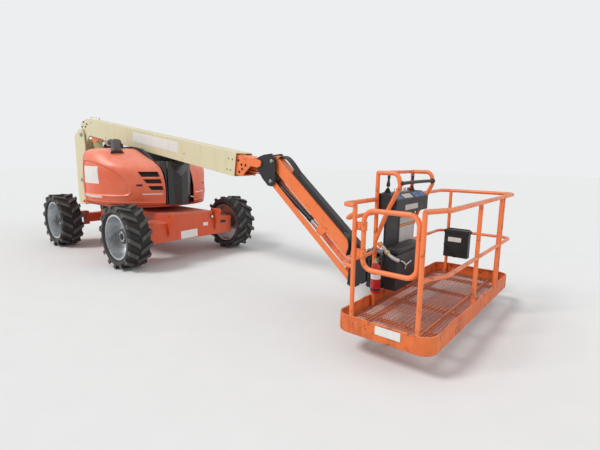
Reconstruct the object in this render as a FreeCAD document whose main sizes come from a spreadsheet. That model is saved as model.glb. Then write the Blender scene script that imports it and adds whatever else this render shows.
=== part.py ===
import FreeCAD, Part
import math
import os
import re
from FreeCAD import Placement, Rotation, Vector

# Articulating boom lift, stowed, standing on its four wheels.
# Every solid is drawn in machine coordinates: X forward to the platform, Y to the left, Z up,
# zero on the ground under the slewing axis. Each sub-part is then shifted by slew_x, which puts
# the origin under the middle of the whole length. All sizes are in millimetres.

doc = FreeCAD.newDocument("boom_lift")

SIZES = (
    # whole machine
    ("slew_x", -1780), ("pin_fit", 0.05), ("seat_gap", 0.3), ("side_gap", 5),
    # wheels
    ("axle_x", 1240), ("wheel_y", 1060), ("tyre_radius", 500), ("tyre_width", 370),
    ("crown_radius", 462), ("bead_radius", 352), ("shoulder_drop", 34), ("bead_width", 310),
    ("lug_pairs", 15), ("lug_thick", 66), ("lug_skew", 118), ("lug_gap", 14), ("lug_proud", 3),
    ("rim_wall", 12), ("rim_lip", 26), ("disc_set", 62), ("disc_thick", 22), ("hub_radius", 118),
    ("hub_out", 120), ("spindle_radius", 45), ("spindle_reach", 50),
    # chassis
    ("frame_front", 1500), ("frame_rear", 1010), ("frame_half", 430), ("frame_low", 360),
    ("frame_wall", 25),
    ("frame_top", 790), ("shoulder_top", 665), ("shoulder_half", 850), ("shoulder_rear", 1010),
    ("neck_half", 210), ("neck_rear", 1420), ("neck_low", 615), ("lug_plate_y", 470),
    ("lug_plate_thick", 25), ("lug_hole", 24), ("tie_reach", 92), ("tie_hole_x", 46), ("ear_top", 830),
    ("ear_low", 455), ("ear_hole", 768), ("tail_ear_low", 640), ("tail_ear_hole", 720), ("drive_tube", 120),
    # steering
    ("king_y", 800), ("king_radius", 30), ("king_block", 62), ("king_half", 95), ("yoke_ear", 38),
    ("knuckle_hub", 86), ("beam_half", 90), ("beam_high", 85), ("beam_end", 655), ("saddle_half", 120),
    ("steer_arm", 170), ("arm_half", 25), ("arm_thick", 20), ("arm_gap", 6), ("steer_rod_radius", 20),
    ("steer_eye_y", 755), ("steer_eye_radius", 34), ("steer_eye_half", 18),
    ("steer_barrel_radius", 42), ("steer_barrel_half", 230),
    # slewing ring and turntable
    ("ring_radius", 470), ("ring_top", 835), ("table_ring", 420), ("deck_low", 880), ("deck_top", 920),
    ("deck_radius", 1090), ("deck_half", 925), ("cheek_y", 195), ("cheek_thick", 22),
    ("cheek_front", 160), ("cheek_head", 150), ("cheek_waist", 1215), ("cheek_tail", 1160),
    ("brace_top", 1180), ("brace_thick", 30),
    ("tail_wall", 1000), ("weight_top", 1300), ("weight_front", 560), ("weight_radius", 900),
    ("engine_x", 330), ("engine_length", 760), ("engine_out", 750), ("engine_in", 360),
    ("engine_top", 1480),
    ("cover_front", 1200), ("cover_bulge", 28), ("cover_half", 222), ("cover_top", 1660), ("cover_wall", 14),
    ("panel_in", 262), ("panel_out", 282), ("band_in", 228), ("band_deep", 75), ("band_rise", 40),
    ("hinge_radius", 8), ("hinge_wall", 5),
    # hoods
    ("hood_top", 1870), ("hood_wall", 25), ("vent_back", 500), ("vent_deep", 800),
    ("stack_radius", 66), ("stack_x", 10), ("stack_y", 470), ("stack_high", 1990),
    ("stack_lean", 330),
    # tower boom
    ("tower_x", 900), ("tower_z", 1400), ("tower_tail_x", -2380), ("tower_tail_z", 1200),
    ("tower_half", 130), ("tower_deep", 140), ("tower_wall", 10), ("tower_length", 2850),
    ("tower_fly_half", 112), ("tower_fly_deep", 121), ("tower_fly_front", 180), ("tower_pin", 40),
    ("tower_cyl_x", 750), ("tower_cyl_z", 1020), ("tower_eye_s", -1600), ("tower_eye_h", -205),
    ("tower_cyl_radius", 62), ("tower_rod_radius", 34), ("tower_barrel", 1210),
    # upright
    ("upright_half", 200), ("upright_thick", 25), ("upright_rear", -2630), ("upright_front", -2165),
    ("upright_low", 640), ("upright_cap", 120), ("upright_nose", 160),
    # main boom
    ("boom_x", -2270), ("boom_z", 2200), ("boom_slope", 8.56), ("boom_start", 295),
    ("boom_length", 4803), ("boom_axis", 191), ("boom_half", 160), ("boom_deep", 170),
    ("boom_wall", 10), ("boom_pin", 40), ("tail_in", 130), ("tail_out", 155),
    ("fly_half", 131), ("fly_deep", 142), ("fly_wall", 9), ("fly_start", 1150), ("fly_cheek", 18),
    ("boom_cyl_x", -2200), ("boom_cyl_z", 1460), ("boom_eye_s", 900), ("boom_eye_h", -60),
    ("boom_cyl_radius", 60), ("boom_rod_radius", 34), ("boom_barrel", 880), ("bracket_in", 92),
    ("bracket_out", 112), ("bracket_start", 330), ("bracket_end", 700), ("bracket_deep", 125),
    ("guard_high", 46), ("guard_half", 95), ("guard_wall", 8),
    # eyes and pins of the cylinders
    ("cyl_eye", 44), ("cyl_eye_half", 42), ("cyl_pin", 28), ("eye_pin", 20), ("lug_in", 50),
    ("lug_thick_eye", 22), ("pin_head", 14), ("head_proud", 12),
    # knuckle
    ("nose_x", 3240), ("nose_z", 1660), ("nose_pin", 28), ("knuckle_in", 88), ("knuckle_out", 108),
    ("level_x", 3270), ("level_z", 1500), ("level_radius", 18), ("level_pin", 16), ("level_eye", 30),
    ("level_half", 24), ("level_length", 420),
    # jib
    ("jib_x", 3470), ("jib_z", 1690), ("link_x", 3450), ("link_z", 1420), ("jib_run", 1340),
    ("jib_drop", 1140), ("jib_half", 55), ("jib_deep", 86), ("jib_wall", 8), ("jib_pin", 25),
    ("link_half", 82), ("link_deep", 40), ("link_wall", 20), ("jib_eye_s", 1165), ("jib_eye_h", -150),
    ("jib_cyl_radius", 36), ("jib_rod_radius", 23), ("jib_barrel", 800), ("jib_retract", 100),
    ("jib_eye", 38), ("jib_eye_half", 36), ("jib_stub", 18),
    ("boss_low", 32), ("tie_start", 1540), ("tie_end", 1690), ("tie_thick", 10),
    ("hose_in", -34), ("hose_out", 62), ("hose_start", 330), ("hose_high", 64), ("hose_wall", 8),
    # platform head and rotator
    ("turn_x", 5020), ("head_in", 92), ("head_out", 110), ("turner_radius", 78), ("turner_low", 285),
    ("turner_high", 680), ("turner_shaft", 30),
    # platform
    ("deck_back", 5300), ("deck_front", 6190), ("deck_right", -1200), ("deck_left", 1240),
    ("floor_low", 222), ("floor_top", 230), ("toe_top", 385), ("toe_wall", 5), ("corner", 130),
    ("rail_radius", 21), ("post_radius", 20), ("mid_radius", 18), ("rail_top", 1345), ("rail_mid", 820),
    ("gate_rear", 5535), ("gate_wide", 480), ("gate_low", 810), ("gate_top", 1310),
    ("gate_bend", 90), ("hoop_top", 1600), ("gate_y", -1150), ("sleeve_wall", 8), ("sleeve_high", 70),
    ("post_lift", 8), ("gate_post", 75), ("latch_post", 45), ("rail_bend", 110), ("hoop_reach", 235),
    ("hoop_elbow", 1480), ("hoop_waist", 1240), ("hoop_foot", 930), ("hoop_bend", 70),
    ("front_post_near", -120), ("front_post_far", 650), ("front_post_pair", 70), ("front_bend_y", -900),
    ("guard_rail", 1215), ("loop_right", -950), ("loop_left", -800), ("loop_out", 85),
    ("hoop_right", -560), ("hoop_left", 230), ("console_deep", 215), ("console_low", 1205), ("console_top", 1400),
    ("board_right", -470), ("board_left", -60), ("board_low", 700), ("pod_low", 430), ("pod_top", 720),
    ("pod_deep", 130), ("board_thick", 20), ("case_rear", 125), ("case_long", 300), ("case_deep", 90),
    ("case_low", 500), ("case_top", 840), ("bottle_radius", 48), ("bottle_low", 430), ("bottle_top", 690),
)

dims = doc.addObject("Spreadsheet::Sheet", "dims")
for row, (alias, value) in enumerate(SIZES, 1):
    dims.set("A%d" % row, alias)
    dims.set("B%d" % row, str(value))
    dims.setAlias("B%d" % row, alias)
doc.recompute()


class Sizes:
    """The sheet's cells by name, as plain numbers."""

    def __getattr__(self, alias):
        return float(dims.get(alias))


mm = Sizes()
NODES = []


def cells(text):
    """An expression in which every alias points at its cell."""
    names = dict(SIZES)
    return re.sub(r"[a-z][a-z_]*", lambda m: "dims." + m.group(0) if m.group(0) in names else m.group(0), text)


def node(name, thing, place=None):
    """Registers a sub-part; a bare shape becomes a feature of its own."""
    if not hasattr(thing, "Name"):
        feature = doc.addObject("Part::Feature", name)
        feature.Shape = thing
        thing = feature
    thing.Label = name
    if place is not None:
        thing.Placement = place
    bound = [text for path, text in thing.ExpressionEngine if path.endswith("Placement.Base.x")]
    here = bound[0] if bound else "%.9g" % thing.Placement.Base.x
    thing.setExpression("Placement.Base.x", "dims.slew_x + %s" % here)
    NODES.append(thing)
    return thing


def block(name, low, high):
    """A box between two corners, each given as three expressions of the sheet's names."""
    box = doc.addObject("Part::Box", name)
    for side, axis, a, b in zip(("Length", "Width", "Height"), "xyz", low, high):
        box.setExpression(side, cells("(%s) - (%s)" % (b, a)))
        box.setExpression("Placement.Base.%s" % axis, cells(a))
    return box


def drum(name, radius, length, base, axis):
    """A cylinder from a base point along X, Y or Z, bound to the sheet."""
    turn = {"x": Rotation(Vector(0, 1, 0), 90), "y": Rotation(Vector(1, 0, 0), -90), "z": Rotation()}
    cylinder = doc.addObject("Part::Cylinder", name)
    cylinder.Placement = Placement(Vector(), turn[axis])
    cylinder.setExpression("Radius", cells(radius))
    cylinder.setExpression("Height", cells(length))
    for letter, place in zip("xyz", base):
        cylinder.setExpression("Placement.Base.%s" % letter, cells(place))
    return cylinder


def joined(name, pieces):
    fuse = doc.addObject("Part::MultiFuse", name)
    fuse.Shapes = pieces
    return fuse


def cut(name, base, tools):
    tool = tools[0] if len(tools) == 1 else joined(name + "_tools", tools)
    result = doc.addObject("Part::Cut", name)
    result.Base = base
    result.Tool = tool
    return result


def box(x0, x1, y0, y1, z0, z1):
    return Part.makeBox(x1 - x0, y1 - y0, z1 - z0, Vector(x0, y0, z0))


def bar_y(radius, x, z, y0, y1):
    """A round bar across the machine."""
    return Part.makeCylinder(radius, y1 - y0, Vector(x, y0, z), Vector(0, 1, 0))


def bar_z(radius, x, y, z0, z1):
    """A round bar standing up."""
    return Part.makeCylinder(radius, z1 - z0, Vector(x, y, z0))


def side_plate(points, y0, y1):
    """A flat plate whose outline is given as (x, z) points, from y0 to y1."""
    corners = [Vector(x, y0, z) for x, z in points]
    face = Part.Face(Part.makePolygon(corners + corners[:1]))
    return face.extrude(Vector(0, y1 - y0, 0))


def both_sides(shape):
    """A shape and its mirror image across the machine's middle plane."""
    return [shape, shape.mirror(Vector(), Vector(0, 1, 0))]


def fused(shapes):
    whole = shapes[0].multiFuse(shapes[1:]) if len(shapes) > 1 else shapes[0]
    return whole.removeSplitter()


def tube(points, radius, bend=60):
    """A round tube along straight runs with bent corners, as cylinders and parts of a torus."""
    points = [Vector(*p) for p in points]
    pieces = []
    start = points[0]
    for before, corner, after in zip(points, points[1:], points[2:]):
        way_in = (corner - before).normalize()
        way_out = (after - corner).normalize()
        turn = way_in.getAngle(way_out)
        reach = min(bend * math.tan(turn / 2), 0.45 * corner.distanceToPoint(before),
                    0.45 * corner.distanceToPoint(after))
        enter = corner - way_in * reach
        inward = (way_out - way_in * way_out.dot(way_in)).normalize()
        centre = enter + inward * (reach / math.tan(turn / 2))
        pieces.append(Part.makeCylinder(radius, start.distanceToPoint(enter), start, way_in))
        disc = Part.Face(Part.Wire(Part.Edge(Part.Circle(enter, way_in, radius))))
        pieces.append(disc.revolve(centre, way_in.cross(way_out), math.degrees(turn)))
        start = corner + way_out * reach
    way = (points[-1] - start).normalize()
    pieces.append(Part.makeCylinder(radius, start.distanceToPoint(points[-1]), start, way))
    return fused(pieces)


def ram(length, barrel_length, barrel_radius, rod_radius, eye_radius, eye_half, pin, retract=0):
    """A hydraulic cylinder lying along X from its base pin: the barrel and the rod, as two shapes."""
    bore = rod_radius + mm.pin_fit
    neck = eye_radius * 0.6
    barrel = Part.makeCylinder(barrel_radius, barrel_length - neck, Vector(neck, 0, 0), Vector(1, 0, 0))
    gland = Part.makeCylinder(barrel_radius * 1.12, 60, Vector(barrel_length - 60, 0, 0), Vector(1, 0, 0))
    base_eye = bar_y(eye_radius, 0, 0, -eye_half, eye_half)
    hollow = Part.makeCylinder(bore, barrel_length, Vector(eye_radius + 40, 0, 0), Vector(1, 0, 0))
    shell = fused([barrel, gland, base_eye]).cut(hollow).cut(bar_y(pin, 0, 0, -200, 200))
    start = eye_radius + 60 + retract
    shaft = Part.makeCylinder(rod_radius, length - start, Vector(start, 0, 0), Vector(1, 0, 0))
    rod_eye = bar_y(eye_radius, length, 0, -eye_half, eye_half)
    rod = fused([shaft, rod_eye]).cut(bar_y(pin, length, 0, -200, 200))
    return shell, rod


def eye_lug(s, h, edge, rear, front):
    """One of the two plates that hold a cylinder's rod eye between them, with its stub of pin."""
    reach = 1.5 * mm.eye_pin
    outline = ((s - rear, edge), (s - reach, h - reach), (s + reach, h - reach), (s + front, edge))
    outer = mm.lug_in + mm.lug_thick_eye
    plate = side_plate(outline, mm.lug_in, outer)
    return plate.fuse(bar_y(mm.eye_pin, s, h, mm.lug_in - 3, outer + mm.head_proud))


def aim(x0, z0, x1, z1):
    """The placement that lays local X along the line between two points of the side view."""
    slope = math.degrees(math.atan2(z1 - z0, x1 - x0))
    return Placement(Vector(x0, 0, z0), Rotation(Vector(0, 1, 0), -slope))


# Tyres and rims, drawn about their own axle
def faceted_ring(profile, sides):
    """A ring about Y with flat facets; the profile's first and last points are its bore, which stays round."""
    spread = 1 / math.cos(math.pi / sides)
    bore = min(r for _, r in profile)
    rings = []
    for y, r in profile:
        reach = r * spread if r == bore else r
        turns = [2 * math.pi * k / sides for k in range(sides)]
        rings.append([Vector(reach * math.sin(t), y, reach * math.cos(t)) for t in turns])
    faces = []
    for here, there in zip(rings, rings[1:] + rings[:1]):
        for k in range(sides):
            corners = (here[k], here[k - 1], there[k - 1], there[k], here[k])
            faces.append(Part.Face(Part.makePolygon(corners)))
    solid = Part.Solid(Part.Shell(faces))
    return solid if solid.Volume > 0 else solid.reversed()


def tyre_shape():
    half = mm.bead_width / 2
    wide = mm.tyre_width / 2 - mm.lug_proud
    low = mm.bead_radius
    top = mm.crown_radius
    profile = ((-half, low), (-wide, low + 35), (-wide, top - mm.shoulder_drop), (-wide + 26, top),
               (wide - 26, top), (wide, top - mm.shoulder_drop), (wide, low + 35), (half, low))
    carcass = faceted_ring(profile, 2 * int(mm.lug_pairs))
    pitch = 360 / mm.lug_pairs
    outer = mm.tyre_width / 2
    reach = (mm.lug_skew + mm.lug_thick) / 2
    height = math.sqrt(mm.tyre_radius ** 2 - reach ** 2)
    foot = top - 2.1 * mm.shoulder_drop
    lugs = []
    to_ground = pitch / 2 - math.degrees(math.asin(reach / mm.tyre_radius))
    for side, start in ((1, to_ground), (-1, to_ground + pitch / 2)):
        near = side * mm.lug_gap
        far = side * outer
        lean = mm.lug_skew / 2
        thick = mm.lug_thick / 2
        outline = ((near, -lean - thick), (far, lean - thick), (far, lean + thick), (near, -lean + thick))
        corners = [Vector(t, y, foot) for y, t in outline]
        bar = Part.Face(Part.makePolygon(corners + corners[:1])).extrude(Vector(0, 0, height - foot))
        for count in range(int(mm.lug_pairs)):
            copy = bar.copy()
            copy.rotate(Vector(), Vector(0, 1, 0), start + count * pitch)
            lugs.append(copy)
    return carcass.multiFuse(lugs)


def rim_shape():
    """Deep-dished rim with its hub, the open side facing +Y."""
    half = mm.bead_width / 2
    outer = mm.bead_radius - mm.seat_gap
    inner = outer - mm.rim_wall
    disc = -mm.disc_set
    back = disc - mm.disc_thick
    hub = disc + mm.hub_out
    lip = outer - mm.rim_lip
    profile = ((0, back), (inner - 30, back), (inner, -half), (outer, -half), (outer, half), (lip, half),
               (inner - 40, disc), (mm.hub_radius, disc), (mm.hub_radius - 22, hub), (0, hub))
    ring = Part.makePolygon([Vector(0, y, r) for r, y in profile + profile[:1]])
    solid = Part.Face(ring).revolve(Vector(), Vector(0, 1, 0), 360)
    socket = bar_y(mm.spindle_radius + mm.pin_fit, 0, 0, back - 1, back + mm.spindle_reach)
    return solid.cut(socket)


def wheels():
    tyre = tyre_shape()
    rim = rim_shape()
    for end, x in (("front", mm.axle_x), ("rear", -mm.axle_x)):
        for side, y in (("left", mm.wheel_y), ("right", -mm.wheel_y)):
            turn = Rotation() if y > 0 else Rotation(Vector(0, 0, 1), 180)
            place = Placement(Vector(x, y, mm.tyre_radius), turn)
            node("%s_%s_tyre" % (end, side), tyre.copy(), place)
            node("%s_%s_rim" % (end, side), rim.copy(), place)


# Chassis, axles and steering
def chassis():
    body = block("frame_box", ("-frame_rear", "-frame_half", "frame_low"),
                 ("frame_front", "frame_half", "frame_top"))
    shoulders = block("frame_shoulders", ("shoulder_rear", "-shoulder_half", "frame_low"),
                      ("frame_front", "shoulder_half", "shoulder_top"))
    neck = block("frame_neck", ("-neck_rear", "-neck_half", "neck_low"),
                 ("-frame_rear", "neck_half", "frame_top"))
    tip = mm.frame_front + mm.tie_reach
    profile = ((mm.frame_front, mm.ear_top), (tip - 8, mm.ear_top - 15), (tip, mm.ear_top - 90),
               (mm.frame_front + 14, mm.ear_low), (mm.frame_front, mm.ear_low))
    ears = []
    for side in (1, -1):
        near = side * mm.lug_plate_y
        ear = side_plate(profile, near - mm.lug_plate_thick / 2, near + mm.lug_plate_thick / 2)
        root = box(mm.frame_front - 60, mm.frame_front, near - mm.lug_plate_thick / 2,
                   near + mm.lug_plate_thick / 2, mm.tail_ear_low, mm.ear_top)
        ears.append(fused([ear, root]))
    rear_ears = []
    for side in (1, -1):
        near = side * (mm.neck_half - mm.lug_plate_thick / 2)
        outline = ((-mm.neck_rear, mm.tail_ear_low), (-mm.neck_rear - mm.tie_reach, mm.tail_ear_low + 30),
                   (-mm.neck_rear - mm.tie_reach, mm.frame_top - 20), (-mm.neck_rear, mm.frame_top))
        rear_ears.append(side_plate(outline, near - mm.lug_plate_thick / 2, near + mm.lug_plate_thick / 2))
    plates = doc.addObject("Part::Feature", "tie_down_plates")
    plates.Shape = Part.makeCompound(ears + rear_ears)
    front_hole = drum("tie_hole_front", "lug_hole", "4 * lug_plate_y",
                      ("frame_front + tie_hole_x", "-2 * lug_plate_y", "ear_hole"), "y")
    rear_hole = drum("tie_hole_rear", "lug_hole", "4 * neck_half",
                     ("-neck_rear - tie_hole_x", "-2 * neck_half", "tail_ear_hole"), "y")
    well = block("frame_well", ("-frame_rear + frame_wall", "-frame_half + frame_wall", "frame_low - 1"),
                 ("frame_front - frame_wall", "frame_half - frame_wall", "frame_top - 2 * frame_wall"))
    solid = joined("frame_solid", [body, shoulders, neck, plates])
    node("chassis_frame", cut("frame_cut", solid, [front_hole, rear_hole, well]))


def drive_axle():
    """Hub motors at the platform end of the chassis, with the spindles that carry the wheels."""
    back = mm.wheel_y - mm.disc_set - mm.disc_thick
    shapes = []
    motor = bar_y(mm.drive_tube, mm.axle_x, mm.tyre_radius, mm.shoulder_half, back - mm.side_gap)
    spindle = bar_y(mm.spindle_radius, mm.axle_x, mm.tyre_radius, mm.shoulder_half, back + mm.spindle_reach - 2)
    shapes.extend(both_sides(fused([motor, spindle])))
    node("drive_hubs", Part.makeCompound(shapes))


def steer_axle():
    x = -mm.axle_x
    z = mm.tyre_radius
    beam = box(x - mm.beam_half, x + mm.beam_half, -mm.beam_end, mm.beam_end, z - mm.beam_high, z + mm.beam_high)
    saddle = box(x - 70, x + 70, -mm.saddle_half, mm.saddle_half, z + mm.beam_high - 5, mm.neck_low)
    parts = [beam, saddle]
    low = z - mm.king_half - mm.seat_gap
    high = z + mm.king_half + mm.seat_gap
    for side in (1, -1):
        y = side * mm.king_y
        inner = side * (mm.beam_end - 60)
        for z0, z1 in ((low - mm.yoke_ear, low), (high, high + mm.yoke_ear)):
            parts.append(box(x - mm.king_block, x + mm.king_block, min(inner, y), max(inner, y), z0, z1))
            parts.append(bar_z(mm.king_block, x, y, z0, z1))
        parts.append(bar_z(mm.king_radius, x, y, low - mm.yoke_ear, high + mm.yoke_ear))
        end = side * mm.beam_end
        parts.append(box(x - mm.king_block, x + mm.king_block, min(inner, end), max(inner, end),
                         low - mm.yoke_ear, high + mm.yoke_ear))
    rod_x = x - mm.steer_arm
    for y in (-150, 110):
        parts.append(box(rod_x, x - mm.beam_half + 5, y, y + 40, z - 30, z + 30))
    barrel = bar_y(mm.steer_barrel_radius, rod_x, z, -mm.steer_barrel_half, mm.steer_barrel_half)
    bore = bar_y(mm.steer_rod_radius + mm.pin_fit, rod_x, z, -mm.steer_barrel_half - 1, mm.steer_barrel_half + 1)
    parts.append(barrel)
    node("steer_axle", fused(parts).cut(bore))


def steer_rod():
    x = -mm.axle_x - mm.steer_arm
    z = mm.tyre_radius
    end = mm.steer_eye_y - mm.steer_eye_radius + 10
    shaft = bar_y(mm.steer_rod_radius - 2.5, x, z, -end, end)
    middle = bar_y(mm.steer_rod_radius, x, z, -mm.king_y / 2, mm.king_y / 2)
    eyes = [middle]
    for side in (1, -1):
        y = side * mm.steer_eye_y
        eyes.append(bar_z(mm.steer_eye_radius, x, y, z - mm.steer_eye_half, z + mm.steer_eye_half))
    node("steer_rod", fused([shaft] + eyes))


def knuckles():
    x = -mm.axle_x
    z = mm.tyre_radius
    back = mm.wheel_y - mm.disc_set - mm.disc_thick
    for name, side in (("left_knuckle", 1), ("right_knuckle", -1)):
        y = side * mm.king_y
        turret = bar_z(mm.king_block, x, y, z - mm.king_half, z + mm.king_half)
        ends = sorted((side * (mm.king_y + 20), side * (back - mm.side_gap)))
        hub = bar_y(mm.knuckle_hub, x, z, ends[0], ends[1])
        tips = sorted((side * mm.king_y, side * (back + mm.spindle_reach - 2)))
        spindle = bar_y(mm.spindle_radius, x, z, tips[0], tips[1])
        arm_y = side * mm.steer_eye_y
        arms = []
        low = z - mm.steer_eye_half - mm.arm_gap - mm.arm_thick
        for z0 in (low, z + mm.steer_eye_half + mm.arm_gap):
            z1 = z0 + mm.arm_thick
            arms.append(box(x - mm.steer_arm, x, arm_y - mm.arm_half, arm_y + mm.arm_half, z0, z1))
            arms.append(bar_z(mm.arm_half + 3, x - mm.steer_arm, arm_y, z0, z1))
        bore = bar_z(mm.king_radius + mm.pin_fit, x, y, z - 200, z + 200)
        node(name, fused([turret, hub, spindle] + arms).cut(bore))


def slew_ring():
    ring = drum("slew_ring_disc", "ring_radius", "ring_top - frame_top", ("0", "0", "frame_top"), "z")
    node("slew_ring", ring)


# Turntable and what it carries
def turntable():
    disc = bar_z(mm.deck_radius, 0, 0, mm.deck_low, mm.deck_top)
    trim = box(-mm.deck_radius, mm.deck_radius, -mm.deck_half, mm.deck_half, mm.deck_low, mm.deck_top)
    deck = disc.common(trim)
    ring = bar_z(mm.table_ring, 0, 0, mm.ring_top + mm.seat_gap, mm.deck_low)
    outline = ((mm.tower_x + mm.cheek_front, mm.deck_top), (mm.tower_x + mm.cheek_front, mm.tower_z + 90),
               (mm.tower_x + 60, mm.tower_z + mm.cheek_head), (mm.tower_x - 90, mm.tower_z + mm.cheek_head - 10),
               (mm.tower_x - 800, mm.cheek_waist), (-mm.tail_wall, mm.cheek_tail), (-mm.tail_wall, mm.deck_top))
    cheek = side_plate(outline, mm.cheek_y, mm.cheek_y + mm.cheek_thick)
    pin = bar_y(mm.tower_pin, mm.tower_x, mm.tower_z, -mm.cheek_y, mm.cheek_y)
    foot = bar_y(mm.cyl_pin, mm.tower_cyl_x, mm.tower_cyl_z, -mm.cheek_y, mm.cheek_y)
    brace_x = mm.tower_x + mm.cheek_front - 10
    brace = box(brace_x - mm.brace_thick, brace_x, -mm.cheek_y, mm.cheek_y, mm.deck_top, mm.brace_top)
    node("turntable_frame", fused([deck, ring, pin, foot, brace] + both_sides(cheek)))


def counterweight():
    ring = bar_z(mm.weight_radius, 0, 0, mm.deck_top, mm.weight_top)
    outer = mm.deck_half
    halves = []
    for side in (1, -1):
        ends = sorted((side * (mm.panel_out + 10), side * outer))
        halves.append(ring.common(box(-mm.weight_radius, -mm.weight_front, ends[0], ends[1],
                                      mm.deck_top, mm.weight_top)))
    node("counterweight", Part.makeCompound(halves))


def engine():
    core = block("engine_mass", ("engine_x - engine_length", "-engine_out", "deck_top"),
                 ("engine_x", "-engine_in", "engine_top"))
    node("engine_block", core)


def front_cover():
    """Moulded cover over the tower pivot, bulged forward, with a crease on each side of its middle."""
    back = mm.tower_x + mm.cheek_front + mm.seat_gap
    low = mm.deck_top + mm.seat_gap
    front = mm.cover_front + mm.cover_bulge
    outline = ((back, low), (front, low), (front, mm.cover_top - 250), (mm.cover_front - 20, mm.cover_top - 60),
               (mm.cover_front - 90, mm.cover_top), (back, mm.cover_top))
    solid = side_plate(outline, -mm.cover_half, mm.cover_half)
    crease = 0.62 * mm.cover_half
    plan = ((back, -mm.cover_half), (mm.cover_front - 45, -mm.cover_half), (mm.cover_front, -crease), (front, 0),
            (mm.cover_front, crease), (mm.cover_front - 45, mm.cover_half), (back, mm.cover_half))
    corners = [Vector(x, y, low) for x, y in plan]
    prism = Part.Face(Part.makePolygon(corners + corners[:1])).extrude(Vector(0, 0, mm.cover_top - low))
    hollow = box(back - 1, mm.cover_front - 45 - mm.cover_wall, -mm.cover_half + mm.cover_wall,
                 mm.cover_half - mm.cover_wall, low - 1, mm.cover_top - 60)
    node("front_cover", solid.common(prism).cut(hollow))


HINGES = (-720, -120)


def hinge_height():
    return mm.hood_top + mm.hinge_radius + mm.hinge_wall


def side_panels():
    """Dark inner panels that close the hoods towards the boom slot, each with a band along its top edge."""
    front = mm.tower_x + mm.cheek_front
    rear = mm.tail_wall
    roof = mm.hood_top + mm.band_rise
    line = ((-rear, roof - 110), (-rear + 110, roof - 8), (0.05 * front, roof), (0.36 * front, roof - 40),
            (0.5 * front, roof - 100), (0.68 * front, roof - 215), (0.88 * front, roof - 370), (front, roof - 480))
    outline = ((-rear, mm.deck_top),) + line + ((front, mm.deck_top),)
    wall = side_plate(outline, mm.panel_in, mm.panel_out)
    lower = tuple((x, z - mm.band_deep) for x, z in reversed(line))
    band = side_plate(line + lower, mm.band_in, mm.panel_out)
    shape = fused([wall, band])
    low, high = mm.hinge_radius, mm.panel_out + mm.hinge_radius + mm.hinge_wall
    for x in HINGES:
        shape = shape.fuse(box(x - 34, x - 24, mm.panel_out - 1, high + 4, mm.hood_top + 4, mm.hood_top + 30))
        shape = shape.fuse(box(x + 24, x + 34, mm.panel_out - 1, high + 4, mm.hood_top + 4, mm.hood_top + 30))
        pin = Part.makeCylinder(low, 68, Vector(x - 34, high, hinge_height()), Vector(1, 0, 0))
        shape = shape.fuse(pin)
    node("side_panels", Part.makeCompound(both_sides(shape.removeSplitter())))


# Hoods: plan outlines at rising heights, each two arcs that meet abreast of crown_x and end at the boom slot
HOOD_LEVELS = (
    # height, half width, front, rear, crown_x
    (mm.deck_top, 985, 1125, 985, 50),
    (1000, 1045, 1160, 1040, 50),
    (1300, 1062, 1150, 1055, 50),
    (1560, 1062, 1000, 1055, 90),
    (1765, 1005, 500, 1030, 0),
    (1840, 905, 300, 960, -60),
    (mm.hood_top, 740, 150, 860, -150),
)


def slot_to_crown(end_x, crown_x, half, inner_y, height, parts):
    """Points of the arc that leaves the boom slot at end_x and runs level where it reaches the half width."""
    rise = half - inner_y
    radius = ((end_x - crown_x) ** 2 + rise ** 2) / (2 * rise)
    turn = math.atan2(abs(end_x - crown_x), radius - rise)
    way = 1 if end_x > crown_x else -1
    steps = [turn * (1 - k / parts) for k in range(parts + 1)]
    return [Vector(crown_x + way * radius * math.sin(a), half - radius + radius * math.cos(a), height) for a in steps]


def hood_outline(level, inset, height, inner_y, smooth):
    """One plan outline of the left hood, set in by a wall thickness, its sides two arcs or rows of facets."""
    _, half, front, rear, crown_x = level
    parts = 2 if smooth else 3
    ahead = slot_to_crown(front - inset, crown_x, half - inset, inner_y, height, parts)
    behind = slot_to_crown(-rear + inset, crown_x, half - inset, inner_y, height, parts)[::-1]
    if not smooth:
        return Part.makePolygon(ahead + behind[1:] + ahead[:1])
    return Part.Wire([Part.Arc(*ahead).toShape(), Part.Arc(*behind).toShape(),
                      Part.LineSegment(behind[-1], ahead[0]).toShape()])


def hood_shell():
    """The left hood: a moulded shell, open below and towards the boom slot."""
    inner_y = mm.panel_out + mm.seat_gap
    outer_levels = []
    inner_levels = []
    for level in HOOD_LEVELS:
        height = level[0]
        below = mm.hood_wall
        if level is HOOD_LEVELS[0]:
            height = mm.deck_top + mm.seat_gap
            below = 5
        outer_levels.append(hood_outline(level, 0, height, inner_y, True))
        inner_levels.append(hood_outline(level, mm.hood_wall, height - below, inner_y - 60, False))
    outer = Part.makeLoft(outer_levels, True, True)
    inner = Part.makeLoft(inner_levels, True, True)
    return outer.cut(inner)


VENTS = (
    # outer and inner end across the machine, low and high edge of each slot
    (640, 350, 1390, 1480),
    (585, 335, 1280, 1358),
    (530, 325, 1170, 1245),
)


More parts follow.
